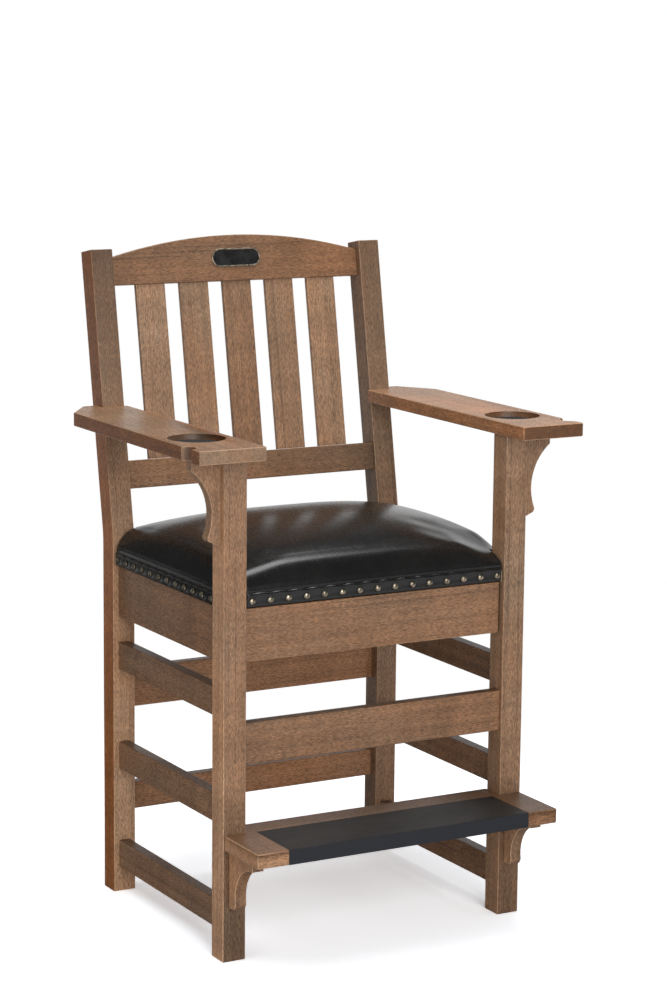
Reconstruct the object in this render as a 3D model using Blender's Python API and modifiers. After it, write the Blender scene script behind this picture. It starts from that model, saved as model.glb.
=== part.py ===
# Billiard spectator chair: tall hardwood armchair with a leather seat, a footrest and a hidden drawer.
# Metres, +Z up. The chair faces -Y and its origin lies on the floor under the middle of its box.
# Pieces are laid out from the front faces of the front legs, where Y is 0 before the root moves them.

import math

import bmesh
import bpy
from mathutils import Matrix, Vector

# Clearances
GAP = 0.0003                    # between faces that meet
SEAT_CLEARANCE = 0.001          # seat corners to the legs and posts
DRAWER_SIDE_GAP = 0.0035        # drawer front to each leg
DRAWER_TOP_GAP = 0.003          # drawer front to the seat above it
CUT_MARGIN = 0.02               # how far a cutter runs past what it cuts
WELD = 0.00001                  # points this close are one
FLAT = 0.005                    # radians; faces closer than this are one
SHARP = math.radians(30)        # edges over this are rounded
HALFWAY = 0.5                   # edge direction that counts as along an axis

# Timber sections
LEG = 0.045                     # legs and posts are square
RAIL_THICKNESS = 0.0225
EASE = 0.0018                   # rounded edges of the frame
ARM_EASE = 0.003                # rounded edges of arms and footrest
TENON_LENGTH = 0.014
TENON_SHOULDER = 0.005

# Frame
FRAME_WIDTH = 0.625             # across the outer faces of the legs
POST_SETBACK = 0.460            # front faces of the legs to front faces of the posts
SEAT_HEIGHT = 0.641             # top of the aprons, underside of the seat
ARM_RISE = 0.271                # underside of the arms above the underside of the seat
KNEE_RISE = 0.056               # above the underside of the seat the posts lean back
KNEE_RADIUS = 0.15
RAKE = math.radians(10.1)
POST_RISE = 0.540               # length of the leaning part of a post

# Rails under the seat
SIDE_RAIL_NAMES = ("lower", "middle", "upper")
SIDE_RAIL_HEIGHT = 0.053
SIDE_RAIL_SPACE = 0.049         # floor to the lowest side rail, and the highest one to the apron
APRON_HEIGHT = 0.100
CROSS_RAIL_DROP = 0.108         # apron down to the front rail and the upper rear rail
CROSS_RAIL_HEIGHT = 0.0765
FRONT_RAIL_INSET = 0.0075       # behind the leg fronts
REAR_RAIL_INSET = 0.001         # in front of the post backs
REAR_LOW_RAIL_FOOT = 0.1535
REAR_LOW_RAIL_HEIGHT = 0.053
BEARER_DEPTH = 0.038
BEARER_THICKNESS = 0.015

# Back, measured along the lean from the knee
BACK_PLANE = 0.0235             # middle of slats and rails behind the post fronts
CREST_FOOT = 0.472
CREST_END_HEIGHT = 0.0525
CREST_ARCH = 0.0365
CREST_THICKNESS = 0.017
BACK_RAIL_FOOT = 0.086
BACK_RAIL_HEIGHT = 0.0535
BACK_RAIL_THICKNESS = 0.036
SLAT_COUNT = 5
SLAT_WIDTH = 0.061
SLAT_PITCH = 0.0925
SLAT_THICKNESS = 0.010
SLAT_TENON_SHOULDER = 0.002

# Plain oval plate on the crest
PLATE_LENGTH = 0.105
PLATE_HEIGHT = 0.036
PLATE_THICKNESS = 0.0018
PLATE_RIM = 0.003
PLATE_RIM_PROUD = 0.0008

# Arms
ARM_THICKNESS = 0.025
ARM_WIDTH = 0.131
ARM_OVERHANG = 0.0805           # outside the legs
ARM_NOSE = 0.063                # in front of the legs
ARM_TAIL = 0.527                # rear end, behind the leg fronts
ARM_CLIP_ACROSS = 0.050         # clipped rear outer corner
ARM_CLIP_ALONG = 0.071
ARM_INNER_CORNER = 0.004
ARM_OUTER_CORNER = 0.004
CUP_DIAMETER = 0.100
CUP_DEPTH = 0.013
CUP_SETBACK = 0.140             # arm front to the middle of the cup recess
CUP_PAD_THICKNESS = 0.003
CUP_SEGMENTS = 40
CUE_RADIUS = 0.020
CUE_OFFSET = 0.003              # notch centre outside the arm edge
CUE_SETBACK = 0.0485            # arm front to the notch centre

# Brackets: radius of the hollow, reach, straight nose, waist, flare under the waist and foot
TOE_ROUND = 0.5                 # rounded share of a bracket's toe
ARM_BRACKET = dict(radius=0.100, reach=0.0575, nose=0.022, waist=0.018, flare=0.008, foot=0.017)
FOOT_BRACKET = dict(radius=0.066, reach=0.090, nose=0.017, waist=0.0245, flare=0.001, foot=0.0125)

# Footrest
FOOTREST_FOOT = 0.2075
FOOTREST_THICKNESS = 0.0275
FOOTREST_END_INSET = 0.00225    # ends inside the outer faces of the legs
FOOTREST_REACH = 0.1275         # in front of the legs
FOOTREST_TONGUE = 0.0475        # back between the legs
TREAD_END_INSET = 0.06175       # ends inside the ends of the footrest
TREAD_DEPTH = 0.1235
TREAD_THICKNESS = 0.002

# Seat
SEAT_SIDE_INSET = 0.0025        # leather bulge inside the outer faces of the legs
SEAT_FRONT_INSET = 0.0025
SEAT_BACK_INSET = 0.0045
DRAW_IN = 0.002                 # nailed band behind the bulge
BAND_HEIGHT = 0.0195            # nailed band and seat board
BULGE_RISE = 0.007
SHOULDER_WIDTH = 0.046
SHOULDER_HEIGHT = 0.043
CROWN = 0.040
LEATHER = 0.002
FOAM_SLACK = 0.0005
CROWN_COLUMNS = 14
CROWN_ROWS = 12
NAIL_HEAD = 0.0115
NAIL_DOME = 0.0028
NAIL_PITCH = 0.036
NAIL_LINE = 0.0113              # above the underside of the seat
NAIL_END = 0.012                # first and last nail from the end of their row
NAIL_STRIP_HEIGHT = 0.0024
NAIL_STRIP_THICKNESS = 0.0007
NAIL_SEGMENTS = 8

# Drawer
DRAWER_FACE_HEIGHT = 0.0955
DRAWER_INSET = 0.0115           # front behind the leg fronts
DRAWER_CORNER = 0.006
DRAWER_LENGTH = 0.385           # box behind the front
DRAWER_WALL = 0.012
DRAWER_SIDE_HEIGHT = 0.050
DRAWER_BOTTOM = 0.005
DRAWER_BOTTOM_RISE = 0.007
DRAWER_GROOVE = 0.005
RUNNER_THICKNESS = 0.012
RUNNER_WIDTH = 0.032
RUNNER_RISE = 0.015             # runner underside above the drawer front's foot

# Places that follow from the sizes
HALF = FRAME_WIDTH / 2
INNER = HALF - LEG
POST_BACK = POST_SETBACK + LEG
POST_TOP_BACK = POST_SETBACK + POST_RISE * math.sin(RAKE) + LEG * math.cos(RAKE)
ROOT_Y = -(POST_TOP_BACK - FOOTREST_REACH) / 2
KNEE_HEIGHT = SEAT_HEIGHT + KNEE_RISE
BACK_FRAME = Matrix.Translation((0, POST_SETBACK, KNEE_HEIGHT)) @ Matrix.Rotation(-RAKE, 4, "X")
ARM_HEIGHT = SEAT_HEIGHT + ARM_RISE
ARM_OUTER = HALF + ARM_OVERHANG
ARM_INNER = ARM_OUTER - ARM_WIDTH
ARM_TOP = ARM_HEIGHT + ARM_THICKNESS
ARM_MIDDLE = ARM_OUTER - ARM_WIDTH / 2
CUP_Y = CUP_SETBACK - ARM_NOSE
APRON_FOOT = SEAT_HEIGHT - APRON_HEIGHT
SIDE_RAIL_RUN = APRON_FOOT - 2 * SIDE_RAIL_SPACE - SIDE_RAIL_HEIGHT
SIDE_RAIL_PITCH = SIDE_RAIL_RUN / (len(SIDE_RAIL_NAMES) - 1)
CROSS_RAIL_FOOT = APRON_FOOT - CROSS_RAIL_DROP - CROSS_RAIL_HEIGHT
FOOTREST_TOP = FOOTREST_FOOT + FOOTREST_THICKNESS
FOOTREST_HALF = HALF - FOOTREST_END_INSET
APRON_INNER = HALF - LEG / 2 - RAIL_THICKNESS / 2
SEAT_HALF = HALF - SEAT_SIDE_INSET
SEAT_BACK = POST_BACK - SEAT_BACK_INSET
DRAWER_HALF = INNER - DRAWER_SIDE_GAP
DRAWER_FACE_BACK = DRAWER_INSET + RAIL_THICKNESS
DRAWER_FACE_TOP = SEAT_HEIGHT - DRAWER_TOP_GAP
DRAWER_FOOT = DRAWER_FACE_TOP - DRAWER_FACE_HEIGHT
RUNNER_TOP = DRAWER_FOOT + RUNNER_RISE + RUNNER_THICKNESS
DRAWER_SIDE_FOOT = RUNNER_TOP + GAP

# Directions in which a flat outline is stood up
LYING = Matrix.Identity(4)
FACING_FRONT = Matrix(((1, 0, 0, 0), (0, 0, -1, 0), (0, 1, 0, 0), (0, 0, 0, 1)))
FACING_SIDE = Matrix(((0, 0, 1, 0), (1, 0, 0, 0), (0, 1, 0, 0), (0, 0, 0, 1)))

for old in list(bpy.data.objects):
    bpy.data.objects.remove(old, do_unlink=True)

parts = bpy.data.collections.new("billiard_spectator_chair")
cutters = bpy.data.collections.new("cutters")
bpy.context.scene.collection.children.link(parts)
bpy.context.scene.collection.children.link(cutters)

mortises = {}


def finish(name, colour, roughness, metallic=0.0):
    material = bpy.data.materials.new(name)
    material.use_nodes = True
    shader = material.node_tree.nodes["Principled BSDF"]
    shader.inputs["Base Color"].default_value = (*colour, 1)
    shader.inputs["Roughness"].default_value = roughness
    shader.inputs["Metallic"].default_value = metallic
    return material


oak = finish("stained_oak", (0.21, 0.115, 0.06), 0.5)
plywood = finish("plywood", (0.42, 0.30, 0.19), 0.7)
foam = finish("seat_foam", (0.75, 0.70, 0.55), 0.9)
leather = finish("black_leather", (0.012, 0.011, 0.010), 0.35)
brass = finish("antique_brass", (0.35, 0.24, 0.12), 0.4, 1.0)
felt = finish("black_felt", (0.02, 0.02, 0.02), 0.9)
steel = finish("black_steel", (0.03, 0.03, 0.033), 0.45, 1.0)
enamel = finish("black_enamel", (0.015, 0.015, 0.016), 0.3)


def empty(name, parent=None, place=Matrix.Identity(4)):
    holder = bpy.data.objects.new(name, None)
    holder.parent = parent
    holder.matrix_local = place
    parts.objects.link(holder)
    return holder


root = empty("chair_root", place=Matrix.Translation((0, ROOT_Y, 0)))
back = empty("back_lean", root, BACK_FRAME)
slide = empty("drawer_slide", root, Matrix.Translation((0, DRAWER_INSET, DRAWER_FOOT)))


def piece(name, mesh, material, parent=root):
    """Turn a finished bmesh into a named object. Drawer pieces keep the chair's coordinates."""
    bmesh.ops.recalc_face_normals(mesh, faces=mesh.faces[:])
    data = bpy.data.meshes.new(name)
    mesh.to_mesh(data)
    mesh.free()
    data.shade_smooth()
    data.set_sharp_from_angle(angle=math.radians(35))
    data.materials.append(material)
    item = bpy.data.objects.new(name, data)
    item.parent = parent
    if parent is slide:
        item.matrix_parent_inverse = slide.matrix_local.inverted()
    parts.objects.link(item)
    return item


def cutter(name, mesh, parent=root):
    bmesh.ops.recalc_face_normals(mesh, faces=mesh.faces[:])
    data = bpy.data.meshes.new(name)
    mesh.to_mesh(data)
    mesh.free()
    item = bpy.data.objects.new(name, data)
    item.parent = parent
    item.hide_render = True
    item.display_type = "WIRE"
    cutters.objects.link(item)
    return item


def combine(item, tool, operation="DIFFERENCE"):
    step = item.modifiers.new(tool.name, "BOOLEAN")
    step.object = tool
    step.operation = operation
    step.solver = "EXACT"


def block(mesh, low, high, frame=Matrix.Identity(4)):
    low = Vector(low)
    high = Vector(high)
    place = frame @ Matrix.Translation((low + high) / 2) @ Matrix.Diagonal((*(high - low), 1))
    bmesh.ops.create_cube(mesh, size=1, matrix=place)


def arc(centre, radius, start, end, steps):
    """Points on a circle from one angle to another, in degrees."""
    angles = [math.radians(start + (end - start) * i / steps) for i in range(steps + 1)]
    return [(centre[0] + radius * math.cos(a), centre[1] + radius * math.sin(a)) for a in angles]


def rounded(corners, steps=4):
    """Outline through corners given as x, y and radius, with an arc at each radius."""
    outline = []
    for i, (x, y, radius) in enumerate(corners):
        here = Vector((x, y))
        if radius == 0:
            outline.append((x, y))
            continue
        before = (Vector(corners[i - 1][:2]) - here).normalized()
        after = (Vector(corners[(i + 1) % len(corners)][:2]) - here).normalized()
        half_angle = before.angle(after) / 2
        centre = here + (before + after).normalized() * radius / math.sin(half_angle)
        first = here + before * radius / math.tan(half_angle) - centre
        last = here + after * radius / math.tan(half_angle) - centre
        turn = first.angle_signed(last)
        for k in range(steps + 1):
            spoke = first.copy()
            spoke.rotate(Matrix.Rotation(-turn * k / steps, 2))
            outline.append(tuple(centre + spoke))
    return outline


def board(outlines, thickness, stand=LYING, middle=(0, 0, 0)):
    """A flat outline given its thickness, stood up and set with its mid-plane at a point."""
    curve = bpy.data.curves.new("outline", "CURVE")
    curve.dimensions = "2D"
    curve.fill_mode = "BOTH"
    curve.extrude = thickness / 2
    for outline in outlines:
        spline = curve.splines.new("POLY")
        spline.points.add(len(outline) - 1)
        for point, (x, y) in zip(spline.points, outline):
            point.co = (x, y, 0, 1)
        spline.use_cyclic_u = True
    holder = bpy.data.objects.new("outline", curve)
    parts.objects.link(holder)
    graph = bpy.context.evaluated_depsgraph_get()
    data = bpy.data.meshes.new_from_object(holder.evaluated_get(graph))
    bpy.data.objects.remove(holder)
    mesh = bmesh.new()
    mesh.from_mesh(data)
    bpy.data.meshes.remove(data)
    bmesh.ops.remove_doubles(mesh, verts=mesh.verts[:], dist=WELD)
    bmesh.ops.dissolve_limit(mesh, angle_limit=FLAT, verts=mesh.verts[:], edges=mesh.edges[:])
    bmesh.ops.transform(mesh, matrix=Matrix.Translation(middle) @ stand, verts=mesh.verts[:])
    bmesh.ops.recalc_face_normals(mesh, faces=mesh.faces[:])
    return mesh


def ease(mesh, width, along=None, across=None):
    """Chamfer the sharp edges that run along one axis, or those that lie across another."""
    chosen = []
    for edge in mesh.edges:
        run = (edge.verts[0].co - edge.verts[1].co).normalized()
        if not edge.is_manifold or edge.calc_face_angle() < SHARP:
            continue
        if along is not None and abs(run[along]) < HALFWAY:
            continue
        if across is not None and abs(run[across]) > HALFWAY:
            continue
        chosen.append(edge)
    bmesh.ops.bevel(mesh, geom=chosen, offset=width, segments=1, profile=0.5, affect="EDGES")


def add_tenons(mesh, axis, shoulder=TENON_SHOULDER):
    ends = [f for f in mesh.faces if abs(f.normal[axis]) > 0.99]
    for face in ends:
        outward = face.normal.copy()
        bmesh.ops.inset_region(mesh, faces=[face], thickness=shoulder, use_even_offset=True)
        grown = bmesh.ops.extrude_discrete_faces(mesh, faces=[face])["faces"][0]
        bmesh.ops.translate(mesh, vec=outward * TENON_LENGTH, verts=grown.verts[:])


def note_mortises(low, high, axis, hosts, shoulder=TENON_SHOULDER, frame=Matrix.Identity(4)):
    """Remember the pockets that the two tenons of a rail need in the pieces that hold it."""
    for host, end in zip(hosts, (0, 1)):
        pocket = [[low[i] + shoulder - GAP for i in range(3)], [high[i] - shoulder + GAP for i in range(3)]]
        face = (low, high)[end][axis]
        outward = (-1, 1)[end]
        span = sorted((face - outward * EASE, face + outward * (TENON_LENGTH + GAP)))
        pocket[0][axis], pocket[1][axis] = span
        mortises.setdefault(host, []).append((pocket[0], pocket[1], frame))


def cut_mortises(item, parent=root):
    pockets = bmesh.new()
    for low, high, frame in mortises[item.name]:
        block(pockets, low, high, frame)
    combine(item, cutter(item.name + "_mortises", pockets, parent))


def rail(name, low, high, axis, hosts):
    mesh = bmesh.new()
    block(mesh, low, high)
    add_tenons(mesh, axis)
    ease(mesh, EASE, along=axis)
    note_mortises(low, high, axis, hosts)
    return piece(name, mesh, oak)


def side_sign(side):
    return -1 if side == "left" else 1


def across(side, near, far):
    """Order two distances from the middle as low and high X on one side of the chair."""
    return sorted((side_sign(side) * near, side_sign(side) * far))


def make_side_rails(side):
    x_low, x_high = across(side, APRON_INNER, APRON_INNER + RAIL_THICKNESS)
    hosts = ("front_leg_" + side, "back_post_" + side)
    spans = [(SIDE_RAIL_SPACE + i * SIDE_RAIL_PITCH, SIDE_RAIL_HEIGHT) for i in range(len(SIDE_RAIL_NAMES))]
    spans.append((APRON_FOOT, SEAT_HEIGHT - GAP - APRON_FOOT))
    names = [f"side_{level}_rail_{side}" for level in SIDE_RAIL_NAMES] + ["side_apron_" + side]
    for name, (foot, height) in zip(names, spans):
        low = (x_low, LEG + GAP, foot)
        high = (x_high, POST_SETBACK - GAP, foot + height)
        rail(name, low, high, 1, hosts)


def make_cross_rails():
    reach = INNER - GAP
    rear = POST_BACK - REAR_RAIL_INSET
    posts = ("back_post_left", "back_post_right")
    legs = ("front_leg_left", "front_leg_right")
    cross_top = CROSS_RAIL_FOOT + CROSS_RAIL_HEIGHT
    for name, foot, top in (
        ("rear_apron", APRON_FOOT, SEAT_HEIGHT - GAP),
        ("rear_upper_rail", CROSS_RAIL_FOOT, cross_top),
        ("rear_lower_rail", REAR_LOW_RAIL_FOOT, REAR_LOW_RAIL_FOOT + REAR_LOW_RAIL_HEIGHT),
    ):
        rail(name, (-reach, rear - RAIL_THICKNESS, foot), (reach, rear, top), 0, posts)
    front = FRONT_RAIL_INSET
    rail("front_rail", (-reach, front, CROSS_RAIL_FOOT), (reach, front + RAIL_THICKNESS, cross_top), 0, legs)


def make_bearer():
    mesh = bmesh.new()
    top = SEAT_HEIGHT - GAP
    reach = APRON_INNER - GAP
    start = LEG + GAP
    block(mesh, (-reach, start, top - BEARER_THICKNESS), (reach, start + BEARER_DEPTH, top))
    ease(mesh, EASE, along=0)
    piece("seat_bearer", mesh, oak)


def make_back():
    """Crest, slats and lower rail stand in the leaning frame of the posts."""
    reach = INNER - GAP
    posts = ("back_post_left", "back_post_right")
    low_rail_top = BACK_RAIL_FOOT + BACK_RAIL_HEIGHT
    for i in range(SLAT_COUNT):
        middle = (i - (SLAT_COUNT - 1) / 2) * SLAT_PITCH
        low = (middle - SLAT_WIDTH / 2, BACK_PLANE - SLAT_THICKNESS / 2, low_rail_top + GAP)
        high = (middle + SLAT_WIDTH / 2, BACK_PLANE + SLAT_THICKNESS / 2, CREST_FOOT - GAP)
        slat = bmesh.new()
        block(slat, low, high)
        add_tenons(slat, 2, SLAT_TENON_SHOULDER)
        ease(slat, EASE, along=2)
        note_mortises(low, high, 2, ("back_rail", "crest_rail"), SLAT_TENON_SHOULDER)
        piece(f"back_slat_{i + 1}", slat, oak, back)

    low = (-reach, BACK_PLANE - BACK_RAIL_THICKNESS / 2, BACK_RAIL_FOOT)
    high = (reach, BACK_PLANE + BACK_RAIL_THICKNESS / 2, low_rail_top)
    lower = bmesh.new()
    block(lower, low, high)
    add_tenons(lower, 0)
    ease(lower, EASE, along=0)
    note_mortises(low, high, 0, posts, frame=BACK_FRAME)
    cut_mortises(piece("back_rail", lower, oak, back), back)

    end_top = CREST_FOOT + CREST_END_HEIGHT
    radius = (reach ** 2 + CREST_ARCH ** 2) / (2 * CREST_ARCH)
    swing = math.degrees(math.asin(reach / radius))
    outline = [(-reach, CREST_FOOT), (reach, CREST_FOOT)]
    outline += arc((0, end_top + CREST_ARCH - radius), radius, 90 - swing, 90 + swing, 16)
    crest = board([outline], CREST_THICKNESS, FACING_FRONT, (0, BACK_PLANE, 0))
    add_tenons(crest, 0)
    ease(crest, EASE, along=0)
    low = (-reach, BACK_PLANE - CREST_THICKNESS / 2, CREST_FOOT)
    high = (reach, BACK_PLANE + CREST_THICKNESS / 2, end_top)
    note_mortises(low, high, 0, posts, frame=BACK_FRAME)
    cut_mortises(piece("crest_rail", crest, oak, back), back)


def oval(length, height):
    """Straight-sided oval with round ends."""
    radius = height / 2
    centre = length / 2 - radius
    return arc((centre, 0), radius, -90, 90, 10) + arc((-centre, 0), radius, 90, 270, 10)


def make_crest_plate():
    crest_front = BACK_PLANE - CREST_THICKNESS / 2
    height = CREST_FOOT + (CREST_END_HEIGHT + CREST_ARCH) / 2
    inner = oval(PLATE_LENGTH - 2 * PLATE_RIM - 2 * GAP, PLATE_HEIGHT - 2 * PLATE_RIM - 2 * GAP)
    place = (0, crest_front - GAP - PLATE_THICKNESS / 2, height)
    piece("crest_plate", board([inner], PLATE_THICKNESS, FACING_FRONT, place), enamel, back)
    rim = [oval(PLATE_LENGTH, PLATE_HEIGHT), oval(PLATE_LENGTH - 2 * PLATE_RIM, PLATE_HEIGHT - 2 * PLATE_RIM)]
    depth = PLATE_THICKNESS + PLATE_RIM_PROUD
    place = (0, crest_front - GAP - depth / 2, height)
    piece("crest_plate_rim", board(rim, depth, FACING_FRONT, place), brass, back)


def make_front_leg(side):
    mesh = bmesh.new()
    x_low, x_high = across(side, INNER, HALF)
    block(mesh, (x_low, 0, 0), (x_high, LEG, ARM_HEIGHT - GAP))
    ease(mesh, EASE, along=2)
    cut_mortises(piece("front_leg_" + side, mesh, oak))


def make_back_post(side):
    lean = Vector((math.sin(RAKE), math.cos(RAKE))) * POST_RISE
    thick = Vector((math.cos(RAKE), -math.sin(RAKE))) * LEG
    top = Vector((POST_SETBACK, KNEE_HEIGHT)) + lean
    back_knee = KNEE_HEIGHT - LEG * math.tan(RAKE / 2)
    outline = rounded([
        (POST_SETBACK, 0, 0),
        (POST_BACK, 0, 0),
        (POST_BACK, back_knee, KNEE_RADIUS),
        (*(top + thick), 0),
        (*top, 0),
        (POST_SETBACK, KNEE_HEIGHT, KNEE_RADIUS + LEG),
    ])
    middle = (side_sign(side) * (HALF - LEG / 2), 0, 0)
    mesh = board([outline], LEG, FACING_SIDE, middle)
    ease(mesh, EASE, along=2)
    cut_mortises(piece("back_post_" + side, mesh, oak))


def make_arm(side):
    """Board with a half-round cue notch, a clipped rear corner, a cup recess and a slot for the post."""
    sign = side_sign(side)
    cue_y = CUE_SETBACK - ARM_NOSE
    cue_x = ARM_OUTER + CUE_OFFSET
    swing = math.degrees(math.acos(CUE_OFFSET / CUE_RADIUS))
    nose = rounded([
        (ARM_INNER, ARM_TAIL, 0),
        (ARM_INNER, -ARM_NOSE, ARM_INNER_CORNER),
        (ARM_OUTER, -ARM_NOSE, ARM_OUTER_CORNER),
        (ARM_OUTER, cue_y, 0),
    ])
    outline = nose[:-1]
    outline += arc((cue_x, cue_y), CUE_RADIUS, 180 + swing, 180 - swing, 12)
    outline += [(ARM_OUTER, ARM_TAIL - ARM_CLIP_ALONG), (ARM_OUTER - ARM_CLIP_ACROSS, ARM_TAIL)]
    outline = [(sign * x, y) for x, y in outline]
    mesh = board([outline], ARM_THICKNESS, LYING, (0, 0, ARM_HEIGHT + ARM_THICKNESS / 2))
    ease(mesh, ARM_EASE, across=2)
    arm = piece("arm_" + side, mesh, oak)

    recess = bmesh.new()
    depth = CUP_DEPTH + CUT_MARGIN
    middle = Matrix.Translation((sign * ARM_MIDDLE, CUP_Y, ARM_TOP - CUP_DEPTH + depth / 2))
    radius = CUP_DIAMETER / 2
    bmesh.ops.create_cone(recess, cap_ends=True, segments=CUP_SEGMENTS, radius1=radius, radius2=radius,
                          depth=depth, matrix=middle)
    combine(arm, cutter(f"cup_recess_{side}", recess))

    slot = bmesh.new()
    x_low, x_high = across(side, ARM_INNER - CUT_MARGIN, HALF + GAP)
    block(slot, (x_low, -GAP, 0), (x_high, LEG + POST_RISE, POST_RISE), BACK_FRAME)
    combine(arm, cutter(f"post_slot_{side}", slot))

    pad = bmesh.new()
    middle = Matrix.Translation((sign * ARM_MIDDLE, CUP_Y, ARM_TOP - CUP_DEPTH + GAP + CUP_PAD_THICKNESS / 2))
    radius -= GAP
    bmesh.ops.create_cone(pad, cap_ends=True, segments=CUP_SEGMENTS, radius1=radius, radius2=radius,
                          depth=CUP_PAD_THICKNESS, matrix=middle)
    piece("cup_pad_" + side, pad, felt)


def bracket_outline(radius, reach, nose, waist, flare, foot):
    """Bracket seen from its side: distance out from the leg, and height below what it carries."""
    centre_out = waist + radius
    start = math.degrees(math.acos((centre_out - reach) / radius))
    end = math.degrees(math.acos((radius - flare) / radius))
    centre_down = -nose - radius * math.sin(math.radians(start))
    hollow = arc((centre_out, centre_down), radius, 180 - start, 180 + end, 10)
    toe_out, toe_down = hollow[-1]
    round_out = toe_out * TOE_ROUND
    quarter = arc((0, 0), 1, 0, -90, 4)
    toe = [(toe_out - round_out + round_out * x, toe_down + foot * y) for x, y in quarter[1:]]
    return [(GAP, -GAP), (reach, -GAP)] + hollow + toe + [(GAP, toe_down - foot)]


def make_brackets(side):
    sign = side_sign(side)
    outline = bracket_outline(**ARM_BRACKET)
    stood = [(sign * (HALF + out), ARM_HEIGHT + down) for out, down in outline]
    mesh = board([stood], RAIL_THICKNESS, FACING_FRONT, (0, LEG / 2, 0))
    ease(mesh, EASE, across=1)
    piece("arm_bracket_" + side, mesh, oak)
    outline = bracket_outline(**FOOT_BRACKET)
    stood = [(-out, FOOTREST_FOOT + down) for out, down in outline]
    mesh = board([stood], RAIL_THICKNESS, FACING_SIDE, (sign * (HALF - LEG / 2), 0, 0))
    ease(mesh, EASE, across=0)
    piece("footrest_bracket_" + side, mesh, oak)


def make_footrest():
    reach = FOOTREST_HALF
    tongue = INNER - GAP
    outline = [
        (-reach, -FOOTREST_REACH), (reach, -FOOTREST_REACH), (reach, -GAP), (tongue, -GAP),
        (tongue, FOOTREST_TONGUE), (-tongue, FOOTREST_TONGUE), (-tongue, -GAP), (-reach, -GAP),
    ]
    mesh = board([outline], FOOTREST_THICKNESS, LYING, (0, 0, FOOTREST_FOOT + FOOTREST_THICKNESS / 2))
    ease(mesh, EASE, across=2)
    footrest = piece("footrest_board", mesh, oak)

    front = -FOOTREST_REACH
    half_tread = FOOTREST_HALF - TREAD_END_INSET
    rebate = bmesh.new()
    bed = FOOTREST_TOP - TREAD_THICKNESS - GAP
    lip = front + TREAD_THICKNESS + GAP
    outer = half_tread + GAP
    before = front - CUT_MARGIN
    above = FOOTREST_TOP + CUT_MARGIN
    block(rebate, (-outer, before, bed), (outer, front + TREAD_DEPTH + GAP, above))
    combine(footrest, cutter("tread_bed", rebate))
    lip_cut = bmesh.new()
    block(lip_cut, (-outer, before, FOOTREST_FOOT - CUT_MARGIN), (outer, lip, above))
    combine(footrest, cutter("tread_lip", lip_cut))

    tread = [
        (front, FOOTREST_FOOT), (front + TREAD_THICKNESS, FOOTREST_FOOT),
        (front + TREAD_THICKNESS, FOOTREST_TOP - TREAD_THICKNESS),
        (front + TREAD_DEPTH, FOOTREST_TOP - TREAD_THICKNESS), (front + TREAD_DEPTH, FOOTREST_TOP),
        (front, FOOTREST_TOP),
    ]
    piece("footrest_tread", board([tread], 2 * half_tread, FACING_SIDE), steel)


def make_seat_corners():
    """Square corners that let the seat pass the legs and posts."""
    corners = bmesh.new()
    inner = INNER - SEAT_CLEARANCE
    floor = SEAT_HEIGHT - CUT_MARGIN
    ceiling = SEAT_HEIGHT + BAND_HEIGHT + BULGE_RISE + SHOULDER_HEIGHT + CROWN + CUT_MARGIN
    for side in ("left", "right"):
        x_low, x_high = across(side, inner, HALF + CUT_MARGIN)
        post_front = POST_SETBACK - SEAT_CLEARANCE
        block(corners, (x_low, -CUT_MARGIN, floor), (x_high, LEG + SEAT_CLEARANCE, ceiling))
        block(corners, (x_low, post_front, floor), (x_high, POST_BACK + CUT_MARGIN, ceiling))
    return cutter("seat_corners", corners)


def crown_height(x, y, half_width, front, rear):
    """Rise of the cushion over its rim: a rounded shoulder all round and a dome over the middle."""
    middle = (front + rear) / 2
    half_depth = (rear - front) / 2
    across_part = min(1, (half_width - abs(x)) / SHOULDER_WIDTH)
    along_part = min(1, (half_depth - abs(y - middle)) / SHOULDER_WIDTH)
    shoulder = (1 - (1 - across_part) ** 2) * (1 - (1 - along_part) ** 2)
    dome = (1 - (x / half_width) ** 2) * (1 - ((y - middle) / half_depth) ** 2)
    return SHOULDER_HEIGHT * shoulder + CROWN * dome


def crowned_sheet(half_width, front, rear, rim):
    """Open crowned sheet, its rows closer together over the shoulders."""
    sheet = bmesh.new()
    bmesh.ops.create_grid(sheet, x_segments=CROWN_COLUMNS, y_segments=CROWN_ROWS, size=1)
    middle = (front + rear) / 2
    half_depth = (rear - front) / 2
    for vert in sheet.verts:
        x = half_width * math.sin(vert.co.x * math.pi / 2)
        y = middle + half_depth * math.sin(vert.co.y * math.pi / 2)
        vert.co = (x, y, rim + crown_height(x, y, half_width, front, rear))
    return sheet


def drop_rim(sheet, half_width, front, rear, z):
    """Carry the open rim of a sheet down to a smaller or equal rectangle at height z."""
    rim = [e for e in sheet.edges if e.is_boundary]
    grown = bmesh.ops.extrude_edge_only(sheet, edges=rim)["geom"]
    verts = [v for v in grown if isinstance(v, bmesh.types.BMVert)]
    for vert in verts:
        vert.co.x = max(-half_width, min(half_width, vert.co.x))
        vert.co.y = max(front, min(rear, vert.co.y))
        vert.co.z = z


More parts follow.
